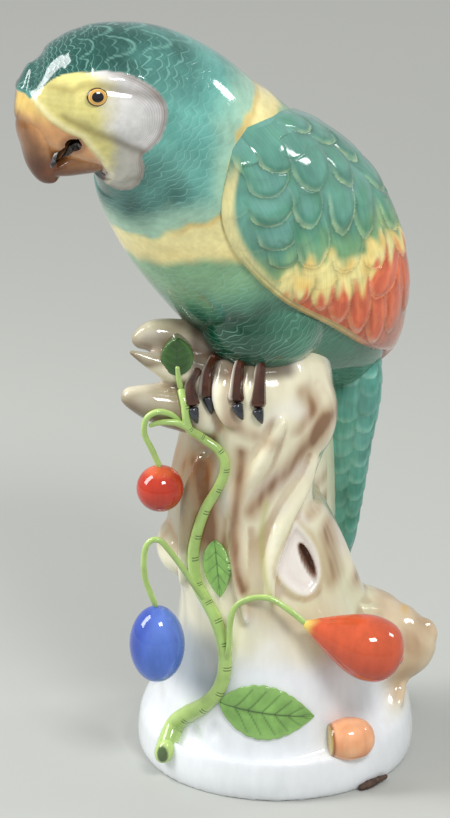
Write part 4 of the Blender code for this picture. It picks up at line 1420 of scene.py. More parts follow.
def wing_paint(points, along, across, layout, front):
    """Green coverts with pale rims, a yellow band and red flight feathers."""
    look = settings()
    _, rim, vane, row_of, shadow, down, over, tipness = layout
    seed = np.sin(row_of * 12.9) * 0.5 + 0.5
    cloud = 0.5 + 0.5 * ripple(points, 20.0, 4.0)
    vane_side = (vane + 5) % 10 - 5
    ragged = 2.4 * np.sin(vane_side * 6.0 + 3 * row_of) + 2.0 * ripple(points, 12.0, 4.0)
    gold_from = np.interp(over, *zip(*GOLD_LINE)) + ragged
    red_from = np.interp(over, *zip(*RED_LINE)) + 1.3 * ragged
    inner = rise(1.0, 2.0, rim) * rise(5.0, 2.4, rim) * tipness
    pale = rise(2.2, 0.4, rim) * tipness * (0.45 + 0.55 * rise(-0.4, 0.5, ripple(points, 11.0, 7.0)))
    bluish = np.clip(cloud * rise(66, 25, down) + 0.3 * seed, 0, 1)
    green = blend(look.wing_green, srgb(122, 178, 168), bluish)
    green = blend(green, srgb(52, 118, 88), 0.55 * rise(0.45, 0.9, cloud * 0.5 + seed * 0.5))
    yellowish = rise(gold_from - 16, gold_from - 1, down) * (0.5 + 0.5 * seed)
    green = blend(green, srgb(176, 206, 128), 0.65 * yellowish)
    green = blend(green, srgb(48, 112, 86), 0.42 * inner)
    green = blend(green, srgb(196, 220, 168), 0.6 * pale)
    warm = np.clip(0.25 + 0.75 * ripple(points, 16.0, 2.0), 0, 1)
    gold = blend(srgb(252, 238, 160), srgb(250, 214, 122), warm)
    streak = 0.5 + 0.5 * np.sin(vane_side * 8.0 + 1.2 * ripple(points, 9.0, 1.0) + row_of)
    deep = np.clip(streak * rise(0.6, 2.5, rim) + 0.5 * inner, 0, 1)
    red = blend(look.flight_red, srgb(206, 78, 50), 0.6 * deep)
    red = blend(red, srgb(243, 164, 124), 0.7 * pale)
    colour = blend(green, gold, rise(-3, 5, down - gold_from))
    colour = blend(colour, red, rise(-3, 6, down - red_from))
    colour = blend(colour, srgb(188, 124, 104), 0.8 * rise(130, 158, along + 0.3 * across))
    dark = blend(colour * 0.35, (0.02, 0.07, 0.04), rise(2, -4, down - red_from) * 0.5)
    colour = blend(colour, dark, 0.62 * shadow)
    return wing_edge_paint(colour, along, across - front)


def wing_edge_paint(colour, along, edge):
    """Yellow band down the front edge of a wing, with two fine lines in its lower part."""
    upper = rise(2, 10, along) * rise(78, 40, along)
    colour = blend(colour, settings().collar_yellow, 0.9 * rise(7.5, 3.5, edge) * upper)
    lower = rise(30, 60, along) * rise(152, 120, along)
    colour = blend(colour, srgb(226, 218, 150), 0.6 * rise(4.2, 3.0, edge) * lower)
    lines = np.clip(bell(edge - 1.0, 0.6) + bell(edge - 3.0, 0.5), 0, 1)
    return blend(colour, srgb(132, 138, 76), 0.5 * lines * lower)


def wing_glaze():
    """Glaze over the wings' paint, with the fine barbs of the feathers."""
    glaze = Glaze("wing_glaze")
    place = glaze.place()
    vane = glaze.product(glaze.attribute("vane"), 9.0)
    rim = glaze.product(glaze.attribute("rim"), 0.10)
    barbs = glaze.noise(glaze.combine(vane, rim), 1.0, 3.0)
    colour = glaze.tone(glaze.attribute("paint", True), barbs, 0.92, 1.08)
    colour = glaze.tone(colour, glaze.noise(place, 70.0, 4.0), 0.84, 1.14)
    glaze.relief(barbs, 0.00006)
    return glaze.done(colour)


class PARROT_OT_wings(bpy.types.Operator):
    """Two folded wings with moulded, overlapping feathers"""

    bl_idname = "parrot.wings"
    bl_label = "Wings"

    outside = 230
    inside = 18
    along = 280

    def execute(self, context):
        material = wing_glaze()
        top, tip = WING_ROWS[0][0], WING_ROWS[-1][0]
        bm, places = rolled_grid(self.outside + self.inside, self.along)
        bm.free()
        cut_share = self.outside / (self.outside + self.inside)
        u, v = places.T
        lengths = length_at(top) - (length_at(top) - length_at(tip)) * v
        stations = np.interp(lengths, BIRD_LENGTHS, BIRD_PLACES)
        front, back, _, _ = wing_rows(stations)
        outer = u <= cut_share
        step = np.clip(u / cut_share, 0, 1) * 2 - 1
        outer_share = 1.2 * step - 0.2 * step**3
        share = np.where(outer, outer_share, 1 - 2 * (u - cut_share) / (1 - cut_share))
        share = np.clip(share, -1, 1)
        bearing = front + (back - front) * (share + 1) / 2
        along = length_at(top) - lengths
        ring = np.radians(bearing) * BODY_RADIUS
        layout = lay_larger_feathers(along, ring, feather_layout(along, ring))
        ends = np.sin(np.clip(v / 0.05, 0, 1) * math.pi / 2)
        ends = ends * np.sin(np.clip((1 - v) / 0.06, 0, 1) * math.pi / 2)
        feathers = layout[0] * rise(1.0, 0.86, np.abs(share)) * ends * settings().feather_step
        lift = np.where(outer, wing_lift(stations, share) * ends + feathers, -WING_SINK)
        lift = np.where((v <= 0) | (v >= 1), -WING_SINK * 0.5, lift)
        edge = np.radians(front) * BODY_RADIUS
        for name, far_side in (("wing_near", False), ("wing_far", True)):
            points = []
            for at, angle, height, place in zip(stations, bearing, lift, share):
                if far_side:
                    angle = 180 - angle - FAR_WING_INSET * max(-place, 0)
                points.append(bird_skin(float(at), angle, float(height))[0])
            points = np.array(points)
            bm, _ = rolled_grid(self.outside + self.inside, self.along)
            mark_grid(bm, "paint", wing_paint(points, along, ring, layout, edge))
            mark_grid(bm, "vane", layout[2])
            mark_grid(bm, "rim", layout[1])
            roll_up(bm, points)
            obj = piece(name, bm, material)
            move_points(obj.data, smoothed(obj.data, 2, 0.35))
        return {"FINISHED"}


class PARROT_OT_tail(bpy.types.Operator):
    """Long tail with rows of overlapping feathers"""

    bl_idname = "parrot.tail"
    bl_label = "Tail"

    around = 96
    along = 150
    cap_rows = 6
    end_depth = 3.0
    feathers_round = 8
    row_step = 10.0
    step = 0.45
    shaft_depth = 0.35

    def execute(self, context):
        look = settings()
        bm, places = rolled_grid(self.around, self.along)
        last = len(TAIL_STATIONS) - 1
        cap = self.cap_rows / self.along
        points, outs = [], []
        for u, v in places:
            at = min(last * v / (1 - cap), last)
            dome = math.sin(max(v - 1 + cap, 0) / cap * math.pi / 2)
            point, out = loft_point(TAIL_STATIONS, at, 360 * u, dome, self.end_depth)
            points.append(point)
            outs.append(out)
        points, outs = np.array(points), np.array(outs)
        turn = places[:, 0] * self.feathers_round
        across = turn % 1 * 2 - 1
        stagger = np.floor(turn) % 2 * 0.5
        top = TAIL_STATIONS[0][2]
        into = ((top - points[:, 2]) / self.row_step + stagger) % 1
        reach = np.sqrt(into**2 + 0.55 * across**2)
        lift = self.step * rise(0, 1, into) * (1 - rise(0.88, 1.06, reach)) * rise(90, 110, points[:, 2])
        shaft = self.shaft_depth * bell(1 - np.abs(across), 0.12)
        points = points + outs * (lift - shaft)[:, None]
        rim = rise(0.55, 0.97, reach) * (1 - rise(0.97, 1.03, reach))
        colour = blend(look.teal, srgb(62, 138, 120), 0.5 + 0.5 * ripple(points, 22.0, 1.5))
        faint = 0.5 + 0.5 * ripple(points, 26.0, 3.0)
        colour = blend(colour, look.teal_light, 0.7 * rim * faint)
        colour = blend(colour, srgb(40, 108, 92), 0.45 * shaft)
        mark_grid(bm, "paint", colour)
        roll_up(bm, points)
        glaze = Glaze("tail_glaze")
        place = glaze.place()
        strokes = glaze.noise(glaze.stretch(place, (1.0, 1.0, 0.2)), 380.0, 3.0)
        colour = glaze.tone(glaze.attribute("paint", True), strokes, 0.84, 1.14)
        colour = glaze.tone(colour, glaze.noise(place, 60.0, 3.0), 0.86, 1.12)
        piece("tail", bm, glaze.done(colour))
        return {"FINISHED"}


def seat_on(objects):
    """A function that finds the front of some pieces at x and z, in millimetres."""
    bm = bmesh.new()
    for obj in objects:
        bm.from_mesh(obj.data)
    tree = BVHTree.FromBMesh(bm)
    bm.free()

    def seat(x, z, lift=0.0):
        """The foremost point at x and z, lifted off the surface."""
        place, out, _, _ = tree.ray_cast(Vector((x * MM, -1, z * MM)), Vector((0, 1, 0)))
        if place is None:
            place, out, _, _ = tree.find_nearest(Vector((x, -30, z)) * MM)
        return place / MM + out * lift

    return seat


def bark_ridges(bearing, at):
    """Reach of the stump's winding ridges, leaving the base round."""
    fade = min(max(at - FIRST_BARK_STATION, 0), 1)
    angle = math.radians(bearing)
    return fade * sum(depth * math.sin(count * angle + twist * at) for count, twist, depth in BARK_RIDGES)


def knot_places(points):
    """Distance inside the knot's rim, and how near its slit, 1 on the slit's edge."""
    flat = points[:, [0, 2]]
    front = points[:, 1] < 0
    inside = np.where(front, outline_distance(flat, rounded((*KNOT_RIM, KNOT_RIM[0]), 4)[:-1]), -50)
    lean = math.radians(KNOT_SLIT_LEAN)
    dx, dz = (flat - np.array(KNOT_SLIT)).T
    across = (dx * math.cos(lean) + dz * math.sin(lean)) / KNOT_SLIT_HALF[0]
    along = (dz * math.cos(lean) - dx * math.sin(lean)) / KNOT_SLIT_HALF[1]
    return inside, np.where(front, np.hypot(across, along), 9)


def bark_brown(points, streak, patch, hollow):
    """How brown the bark is: fine streaks, its hollows (brown wash and painted shade of the creases), the
    painter's strokes and the knob.
    """
    y = points[:, 1]
    # Brown in the hollows: the bark's brown wash and painted shade in its creases.
    brown = np.clip(rise(0.1, 0.9, streak) * 0.26 + rise(0.02, 0.24, hollow) * 0.7, 0, 0.85)
    brown = brown * (0.5 + 0.5 * rise(-0.5, 0.6, patch))
    bristle = 0.86 + 0.14 * ripple(points * (1.0, 1.0, 0.1), 6.0, 3.0)
    for half, strength, route in BROWN_STROKES:
        reach = line_distance(points[:, [0, 2]], rounded(route)) / half
        stroke = np.exp(-((reach * (0.75 + 0.1 * streak)) ** 2))
        brown = np.maximum(brown, min(1.2 * strength, 1) * stroke * bristle * (y < 20))
    knob = rise(26, 10, np.linalg.norm((points - KNOB_PLACE) * (1, 0.6, 0.8), axis=1))
    return np.clip(brown + 0.45 * knob * rise(-0.6, 0.4, streak), 0, 0.92), bristle


def bark_paint(points, outs, hollow, root):
    """Cream and brown bark, the greyer burl and root, the broken ends with painted shade on their
    undersides, painted shadow under the bird, and the painted shade of the toes.
    """
    look = settings()
    x, y, z = points.T
    flat = points[:, [0, 2]]
    streak = 0.7 * ripple(points * (1.0, 1.0, 0.16), 24.0, 1.0)
    streak = streak + 0.3 * ripple(points * (1.0, 1.0, 0.1), 10.0, 2.5)
    patch = ripple(points * (1, 1, 0.6), 55.0, 0.7)
    brown, bristle = bark_brown(points, streak, patch, hollow)
    cream = blend(look.cream, srgb(244, 240, 226), rise(0.1, 0.8, ripple(points, 33.0, 2.2)))
    yellowish = rise(-0.2, 0.6, patch + 0.02 * (x - 10)) * rise(185, 130, z)
    cream = blend(cream, srgb(226, 228, 190), 0.75 * yellowish)
    cream = blend(cream, srgb(226, 200, 166), 0.8 * root)
    clouds = rise(-0.4, 0.6, ripple(points, 21.0, 4.4))
    brown = np.clip(brown * (1 - 0.4 * root) + 0.25 * root * clouds, 0, 0.9)
    burl = rise(-22, -34, x + 3 * streak) * rise(112, 126, z) * rise(190, 178, z)
    cream = blend(cream, srgb(142, 130, 102), 0.9 * burl)
    clouds = rise(-0.1, 0.6, ripple(points * (1, 1, 0.3), 16.0, 9.0))
    brown = np.clip(brown + 0.5 * burl * clouds, 0, 0.95)
    colour = blend(cream, look.bark_brown, brown)
    colour = blend(colour, srgb(98, 60, 34), 0.65 * rise(0.6, 1.0, brown))
    ends = rise(-30, -46, x) * rise(176, 186, z)
    # Grey-brown of the broken branch ends, darker on their undersides as painted shade.
    shade = ends * np.clip(0.72 + 0.28 * rise(0.45, -0.35, outs[:, 2]) + 0.25 * streak, 0, 1)
    colour = blend(colour, srgb(126, 106, 80), 0.95 * shade)
    crack = ends * rise(7, 3, np.abs(z - 214 - 0.2 * (x + 60)))
    colour = blend(colour, srgb(238, 230, 204), 0.85 * crack)
    # Dark brown on the top of the stump under the belly: painted shadow of the bird.
    shadow_under_bird = rise(211, 216, z) * (y < 0) * rise(-46, -40, x) * rise(12, 4, x)
    colour = blend(colour, srgb(70, 44, 28), 0.8 * shadow_under_bird)
    toes = rise(7, 2, line_distance(flat, TOE_SHADE_LINE)) * (y < 0)
    colour = blend(colour, srgb(150, 106, 78), 0.5 * toes * bristle)
    olive = bell(line_distance(flat, rounded(OLIVE_LINE)), 1.6) * (y < 0)
    return blend(colour, srgb(178, 180, 96), 0.55 * olive)


def knot_paint(colour, points):
    """White rim and brown slit of the knot."""
    inside, slit = knot_places(points)
    colour = blend(colour, srgb(244, 238, 232), 0.9 * rise(-1.5, 1.0, inside))
    colour = blend(colour, srgb(196, 172, 130), 0.5 * bell(inside + 1.6, 1.2))
    return blend(colour, srgb(128, 78, 46), 0.9 * rise(1.15, 0.8, slit))


def stump_paint(points, outs, hollow):
    """White porcelain below with painted blue-grey shade in a hollow and brown smudges, bark above, and the
    knot.
    """
    look = settings()
    x, y, z = points.T
    bark = rise(58, 88, z + 8 * ripple(points, 40.0, 5.0) + 0.15 * np.clip(x, 0, None))
    root = rise(46, 60, x + 0.15 * (z - 60)) * rise(22, 36, z)
    bark = np.clip(np.maximum(bark, root), 0, 1)
    white = blend(look.white, srgb(214, 220, 224), 0.4 * rise(0, 0.9, ripple(points, 60.0, 3.3)))
    # Blue-grey on the hollow left face of the mound under the plum: painted shade.
    grey = rise(-18, -30, x) * rise(112, 98, z) * rise(36, 54, z) * rise(-68, -58, x)
    white = blend(white, srgb(142, 154, 162), 0.8 * grey)
    colour = blend(white, bark_paint(points, outs, hollow, root), bark)
    smudge = rise(0.0, 0.8, ripple(points, 38.0, 8.1)) * rise(44, 66, z)
    smudge = smudge * rise(-40, -10, x) * rise(40, 20, x)
    colour = blend(colour, srgb(190, 170, 130), 0.6 * smudge * (1 - bark))
    colour = knot_paint(colour, points)
    spot = bell(np.hypot(x - ROOT_SPOT[0], z - ROOT_SPOT[1]), 2.2) * (y < 0)
    return blend(colour, srgb(226, 176, 70), 0.8 * spot)


def stump_clay():
    """The stump's clay forms, not joined yet, in a bmesh."""
    rough = bmesh.new()
    gather(rough, domed_loft(STUMP_STATIONS, 72, 90, (0.0, 8.0), bark_ridges))
    gather(rough, domed_loft(ROOT_STATIONS, 40, 36, (0.0, 4.0)))
    for stations in SPLINTERS:
        gather(rough, domed_loft(stations, 32, 30, (0.0, 3.0)))
    for centre, half in SWELLINGS:
        gather(rough, ball(centre, half))
    gather(rough, domed_loft(STRUT_STATIONS, 32, 24, (2.0, 2.0)))
    helper = bpy.data.objects.new("rough", bpy.data.meshes.new("rough"))
    rough.to_mesh(helper.data)
    seat = seat_on([helper])
    bpy.data.objects.remove(helper)
    for radius, route in FOLDS:
        points = [seat(x, z, -FOLD_SINK * radius) for x, z in route]
        sizes = [(share * radius,) * 2 for share in FOLD_TAPER]
        gather(rough, tube(points, sizes))
    for radius, route in TOE_ROLLS:
        points = [seat(x, z, -TOE_ROLL_SINK * radius) for x, z in route]
        sizes = [(share * radius,) * 2 for share in TOE_ROLL_TAPER]
        gather(rough, tube(points, sizes))
    return rough


def carve_stump(mesh):
    """Softens the joined clay, sinks the knot and the dents, and calms the mound."""
    sharp = coordinates(mesh)
    points = smoothed(mesh, 12)
    points = points + (sharp - points) * rise(6, 1, sharp[:, 2])[:, None]
    points[:, 2] = np.where(sharp[:, 2] < 0.7, 0.0, points[:, 2])
    x, y, z = points.T
    inside, slit = knot_places(points)
    points[:, 1] += KNOT_DEPTH * rise(1.1, 0.5, slit) + 1.2 * rise(0.5, 3.5, inside)
    points[:, 1] -= 0.5 * KNOT_RIM_HEIGHT * bell(inside, 1.8)
    move_points(mesh, points)
    calm = smoothed(mesh, 60)
    share = rise(8, 18, z) * rise(62, 48, z) * rise(66, 50, x * (y < 30))
    points = coordinates(mesh)
    points += (calm - points) * share[:, None]
    for place, half, depth in DENTS:
        reach = np.hypot((points[:, 0] - place[0]) / half[0], (points[:, 2] - place[1]) / half[1])
        points[:, 1] += depth * rise(1.0, 0.2, reach) * (points[:, 1] < 0)
    move_points(mesh, points)
    move_points(mesh, smoothed(mesh, 1))


def vent_cutter():
    """The round vent hole under the foot, as a closed cutter."""
    cutter = bmesh.new()
    bmesh.ops.create_cone(
        cutter, cap_ends=True, segments=32, radius1=VENT_RADIUS * MM, radius2=VENT_RADIUS * MM,
        depth=2 * VENT_DEPTH * MM, matrix=Matrix.Translation((VENT_PLACE[0] * MM, VENT_PLACE[1] * MM, 0)),
    )
    return cutter


class PARROT_OT_stump(bpy.types.Operator):
    """Mound, trunk, root, broken branch, knot hole and the web behind the tail"""

    bl_idname = "parrot.stump"
    bl_label = "Stump"

    gloss = 0.11

    def execute(self, context):
        obj = piece("stump", stump_clay())
        remesh = obj.modifiers.new("joined", "REMESH")
        remesh.mode = "VOXEL"
        remesh.voxel_size = settings().bark_voxel
        applied(obj)
        carve_stump(obj.data)
        cut(obj, [vent_cutter()])
        mesh = obj.data
        points = coordinates(mesh)
        outs = normals(mesh)
        # How hollow each place is, for the brown wash and painted shade in the creases.
        hollow = ((smoothed(mesh, 14) - points) * outs).sum(1)
        paint_points(mesh, "paint", stump_paint(points, outs, hollow))
        glaze = Glaze("bark_glaze", self.gloss)
        place = glaze.place()
        grain = glaze.noise(glaze.stretch(place, (1.0, 1.0, 0.3)), 200.0, 4.0)
        colour = glaze.tone(glaze.attribute("paint", True), grain, 0.97, 1.03)
        colour = glaze.tone(colour, glaze.noise(place, 30.0, 3.0), 0.95, 1.03)
        glaze.relief(glaze.noise(place, 22.0, 2.0), 0.0012, 0.35)
        mesh.materials.append(glaze.done(colour))
        return {"FINISHED"}


class PARROT_OT_residue(bpy.types.Operator):
    """Brown scrap that clings to the edge of the foot"""

    bl_idname = "parrot.residue"
    bl_label = "Scrap at the foot"

    def execute(self, context):
        glaze = Glaze("residue_paint", 0.7)
        glaze.shader.inputs["Coat Weight"].default_value = 0.0
        cloud = glaze.noise(glaze.place(), 420.0, 4.0)
        material = glaze.done(glaze.tone(srgb(84, 62, 48), cloud, 0.4, 1.4))
        bm = tube(RESIDUE, RESIDUE_HALF, 14, 30)
        obj = piece("foot_residue", bm, material)
        points = coordinates(obj.data)
        move_points(obj.data, np.maximum(points + 0.35 * ripple(points, 3.0)[:, None], (-99, -99, 0.0)))
        return {"FINISHED"}


class PARROT_OT_feet(bpy.types.Operator):
    """Faceted toes over the rim of the stump, with black claws"""

    bl_idname = "parrot.feet"
    bl_label = "Toes and claws"

    def execute(self, context):
        look = settings()
        seat = seat_on([bpy.data.objects["stump"]])
        brown = Glaze("toe_glaze")
        place = brown.place()
        cloud = brown.noise(place, 160.0, 3.0)
        colour = brown.tone(tuple(look.toe_brown), cloud, 0.7, 1.35)
        # The facets that face left are pale: bare porcelain edges, and a painted highlight from that side.
        edge = brown.attribute("edge")
        toe_material = brown.done(brown.mix(edge, colour, srgb(228, 218, 204)))
        black = Glaze("claw_glaze")
        claw_material = black.done(black.tone(tuple(look.claw), black.noise(black.place(), 200.0), 0.6, 1.3))
        for number, places in enumerate(TOES):
            route = [seat(x, z, TOE_LIFT) for x, z in places]
            bm = tube(route, TOE_HALF, 8, 18)
            obj = piece(f"toe_{number + 1}", bm, toe_material)
            obj.data.set_sharp_from_angle(angle=math.radians(35))
            outs = normals(obj.data)
            # Pale where a facet faces left: bare porcelain edge and painted highlight.
            paint_points(obj.data, "edge", rise(0.55, 0.9, -outs[:, 0]) * rise(0.9, 0.2, -outs[:, 1]))
            claw = [route[-1]]
            for share, lift in zip((0.5, 1.0), CLAW_LIFTS):
                x, z = Vector(places[-1]) + Vector(CLAW_DROP) * share
                claw.append(seat(x, z, lift))
            piece(f"claw_{number + 1}", tube(claw, CLAW_HALF, 8, 12), claw_material)
        return {"FINISHED"}


def vine_glaze(name, ticks):
    """Pale green stem; ticks is how many pairs of dark marks lie along it."""
    look = settings()
    glaze = Glaze(name)
    u, v = glaze.uv()
    cloud = glaze.noise(glaze.place(), 120.0, 3.0)
    colour = glaze.tone(tuple(look.vine_green), cloud, 0.86, 1.1)
    shade = glaze.ramp(glaze.math("SINE", glaze.math("MULTIPLY", u, math.tau)), 0.2, 1.0)
    colour = glaze.mix(glaze.math("MULTIPLY", shade, 0.35), colour, srgb(104, 148, 62))
    if ticks:
        beat = glaze.math("FRACT", glaze.math("MULTIPLY", v, float(ticks)))
        pair = glaze.math("FRACT", glaze.math("MULTIPLY", beat, 9.0))
        mark = glaze.product(glaze.ramp(beat, 0.80, 0.81), glaze.math("GREATER_THAN", pair, 0.62))
        turned = glaze.math("FRACT", glaze.math("ADD", u, 0.25))
        side = glaze.math("ABSOLUTE", glaze.math("SUBTRACT", turned, 0.42))
        mark = glaze.math("MULTIPLY", mark, glaze.ramp(side, 0.14, 0.10))
        colour = glaze.mix(glaze.math("MULTIPLY", mark, 0.8), colour, srgb(52, 66, 44))
    return glaze.done(colour)


def hang_stem(name, start, steps, material):
    """A stem that leaves the vine in steps, and the place where it ends."""
    route = [start + Vector(step) for step in steps]
    piece(name, tube(route, ((STEM_RADIUS,) * 2, (STEM_RADIUS,) * 2), 14, 60), material)
    return route[-1]


def even(radii):
    """Round half sizes for a tube."""
    return [(radius,) * 2 for radius in radii]


class PARROT_OT_vine(bpy.types.Operator):
    """Vine up the stump with its stems, cherry, plum and pear-shaped fruit"""

    bl_idname = "parrot.vine"
    bl_label = "Vine and fruit"

    tick_groups = 19

    def execute(self, context):
        seat = seat_on([bpy.data.objects["stump"]])
        vine = [seat(x, z, VINE_LIFT) for x, z in VINE]
        stem_material = vine_glaze("stem_glaze", 0)
        form = tube(vine, even(VINE_WIDTHS), 20, 200)
        piece("vine", form, vine_glaze("vine_glaze", self.tick_groups))
        self.cut_end(vine[0])
        curl = [vine[CURL_JOINT] + Vector(step) for step in CURL]
        piece("vine_curl", tube(curl, even(CURL_RADII), 14, 40), stem_material)
        stalk = [vine[-1], *(Vector((x, vine[-1].y + step, z)) for x, step, z in TOP_STALK)]
        piece("leaf_stalk_top", tube(stalk, even(TOP_STALK_RADII), 12, 20), stem_material)
        self.cherry(hang_stem("cherry_stem", vine[CHERRY_JOINT], CHERRY_STEM, stem_material))
        self.plum(hang_stem("plum_stem", vine[PLUM_JOINT], PLUM_STEM, stem_material))
        self.pear(hang_stem("pear_stem", vine[PEAR_JOINT], PEAR_STEM, stem_material))
        return {"FINISHED"}

    def cut_end(self, start):
        """The cut lower end of the vine, with its darker heart."""
        half = (CUT_END_RADIUS, CUT_END_RADIUS, 1.35 * CUT_END_RADIUS)
        form = ball(start, half, Matrix.Rotation(0.35, 4, "Y"))
        glaze = Glaze("cut_end_glaze")
        colour = glaze.mix(glaze.attribute("heart"), tuple(settings().vine_green), srgb(84, 104, 66))
        obj = piece("vine_cut_end", form, glaze.done(colour))
        local = coordinates(obj.data) - np.array(start)
        spread = np.hypot((local[:, 0] + 1.0) / 2.8, (local[:, 2] + 0.2) / 4.6)
        paint_points(obj.data, "heart", rise(1.15, 0.85, spread) * (local[:, 1] < 0))

    def cherry(self, end):
        """Round fruit: darker below, paler on top."""
        look = settings()
        centre = end - Vector((0, 0, CHERRY_RADIUS - STEM_OVERLAP))
        form = ball(centre, (CHERRY_RADIUS,) * 3, None, 64, 40)
        obj = piece("cherry", form, fruit_glaze("cherry_glaze"))
        local = coordinates(obj.data) - np.array(centre)
        shade = blend(look.cherry, srgb(176, 44, 28), rise(2, -9, local[:, 2]) * 0.7)
        shade = blend(shade, srgb(236, 120, 76), 0.6 * rise(7, 10.5, local[:, 2]))
        paint_points(obj.data, "paint", shade)

    def plum(self, end):
        """Long blue fruit: paler on top, darker at its left."""
        look = settings()
        centre = end - Vector((0, 0, PLUM_HALF[2] - STEM_OVERLAP))
        obj = piece("plum", ball(centre, PLUM_HALF, None, 64, 48), fruit_glaze("plum_glaze"))
        local = coordinates(obj.data) - np.array(centre)
        shade = blend(look.plum, srgb(112, 140, 222), 0.5 * rise(-2, 12, local[:, 2]))
        shade = blend(shade, srgb(34, 58, 160), 0.7 * rise(-2, -12, local[:, 0] - 0.3 * local[:, 2]))
        paint_points(obj.data, "paint", shade)

    def pear(self, end):
        """Pear-shaped fruit: yellow at the stem, darker below."""
        look = settings()
        slope = math.radians(PEAR_SLOPE)
        axis = Vector((math.cos(slope), 0, math.sin(slope)))
        tip = end - axis * STEM_OVERLAP
        stations = tuple((*(tip + axis * far), radius, radius, 0) for far, radius in PEAR_PROFILE)
        form = domed_loft(stations, 64, 72, (0.4, 0.8))
        obj = piece("pear_fruit", form, fruit_glaze("pear_glaze"))
        local = coordinates(obj.data) - np.array(tip)
        far = local @ np.array(axis)
        shade = blend(srgb(238, 214, 110), look.pear, rise(0, 7, far + 1.5 * ripple(local, 9.0)))
        shade = blend(shade, srgb(188, 56, 34), 0.5 * rise(0.2, -0.9, local[:, 2] / 14 + far / 60))
        paint_points(obj.data, "paint", shade)


def fruit_glaze(name):
    """Brushed glaze over a fruit's paint."""
    glaze = Glaze(name, 0.06)
    place = glaze.place()
    strokes = glaze.noise(glaze.stretch(place, (1.0, 1.0, 0.3)), 190.0, 3.0)
    painted = glaze.tone(glaze.attribute("paint", True), strokes, 0.88, 1.1)
    return glaze.done(painted)


class PARROT_OT_nut(bpy.types.Operator):
    """Nut lying on the mound"""

    bl_idname = "parrot.nut"
    bl_label = "Nut"

    def execute(self, context):
        look = settings()
        seat = seat_on([bpy.data.objects["stump"]])
        turn = math.radians(NUT_YAW)
        axis = Vector((math.cos(turn), -math.sin(turn), 0))
        start = seat(*NUT_PLACE, NUT_LIFT) - axis * NUT_PROFILE[-1][0] / 2
        stations = tuple((*(start + axis * far), radius, radius, -NUT_YAW) for far, radius in NUT_PROFILE)
        obj = piece("nut", domed_loft(stations, 48, 48, (0.5, 0.5)), fruit_glaze("nut_glaze"))
        local = coordinates(obj.data) - np.array(start)
        far = local @ np.array(axis)
        radius = np.linalg.norm(local - far[:, None] * np.array(axis), axis=1)
        shade = blend(look.nut, srgb(226, 138, 84), 0.6 * (0.5 + 0.5 * ripple(local, 12.0)))
        shade = blend(shade, srgb(188, 164, 92), rise(0.9, 0.4, far))
        ring = np.exp(-(((far - 0.9) / 0.7) ** 2)) * rise(5.5, 7.2, radius)
        shade = blend(shade, srgb(138, 74, 34), 0.9 * ring)
        paint_points(obj.data, "paint", shade)
        return {"FINISHED"}


class PARROT_OT_leaves(bpy.types.Operator):
    """Toothed leaves with modelled and painted veins"""

    bl_idname = "parrot.leaves"
    bl_label = "Leaves"

    long_steps = 60
    wide_steps = 36
    teeth = 9

    def execute(self, context):
        look = settings()
        seat = seat_on([bpy.data.objects["stump"]])
        for name, (base, tip, half_width, set_back) in LEAVES.items():
            bm = bmesh.new()
            vein_layer = bm.verts.layers.float.new("vein")
            rim_layer = bm.verts.layers.float.new("rim")
            bmesh.ops.create_grid(bm, x_segments=self.long_steps, y_segments=self.wide_steps, size=0.5)
            back = bmesh.ops.extrude_face_region(bm, geom=list(bm.faces))["geom"]
            lifted = {item for item in back if isinstance(item, bmesh.types.BMVert)}
            base, tip = Vector(base), Vector(tip)
            roundness = 0.7 if name == "leaf_top" else 0.85
            side = (tip - base).orthogonal().normalized() * half_width
            places = (base + (tip - base) * quarter / 4 for quarter in range(5))
            front = min(seat(*place)[1] for place in places) + set_back
            for vert in bm.verts:
                share = vert.co.x + 0.5
                across = 2 * vert.co.y
                vein, relief = leaf_veins(share, across, name == "leaf_base")
                tooth = 1 + 0.05 * abs(math.sin(math.pi * share * self.teeth)) * abs(across) ** 3
                width = max(math.sin(math.pi * share**LEAF_FULLNESS) ** roundness, 0.03) * tooth
                curl = 0.05 * math.sin(math.pi * share)
                x, z = base + (tip - base) * (share + curl * abs(across)) + side * across * width
                top = vert in lifted
                lift = 0.6 * LEAF_THICK * (1 - 0.5 * (1 - abs(across)) ** 2) + relief
                if not top:
                    lift = -0.4 * LEAF_THICK
                if set_back:
                    depth = -LEAF_THICK * (1 - 0.4 * across**2) - relief if top else 3 * LEAF_THICK
                    vert.co = Vector((x, front + depth, z)) * MM
                else:
                    vert.co = seat(x, z, lift) * MM
                vert[vein_layer] = vein
                vert[rim_layer] = abs(across)
            bmesh.ops.recalc_face_normals(bm, faces=bm.faces)
            glaze = Glaze(name + "_glaze")
            dark = name == "leaf_top"
            ground = tuple(look.leaf_dark if dark else look.leaf_green)
            cloud = glaze.noise(glaze.place(), 130.0, 4.0)
            colour = glaze.tone(ground, cloud, 0.8, 1.15)
            pale = glaze.ramp(glaze.attribute("rim"), 0.55, 1.0, 0.0, 0.1 if dark else 0.35)
            colour = glaze.mix(pale, colour, srgb(160, 200, 120))
            vein = glaze.product(glaze.attribute("vein"), 0.85)
            colour = glaze.mix(vein, colour, srgb(38, 66, 34))
            piece(name, bm, glaze.done(colour))
        return {"FINISHED"}


def leaf_veins(share, across, fine):
    """How much of a vein a place on a leaf holds, and the relief between the veins."""
    count = 7 if fine else 5
    bend = share - 0.16 * abs(across) ** 0.8
    beat = (bend * count) % 1
    near = min(beat, 1 - beat) / count
    side_vein = max(0.0, 1 - near / 0.016) if 0.06 < bend < 0.93 and abs(across) < 0.88 else 0.0
    middle = max(0.0, 1 - abs(across) / 0.07)
    vein = max(side_vein * (1 - 0.5 * abs(across)), middle)
    relief = 0.35 * math.sin(math.pi * beat) * (1 - abs(across)) ** 0.5
    return vein, relief


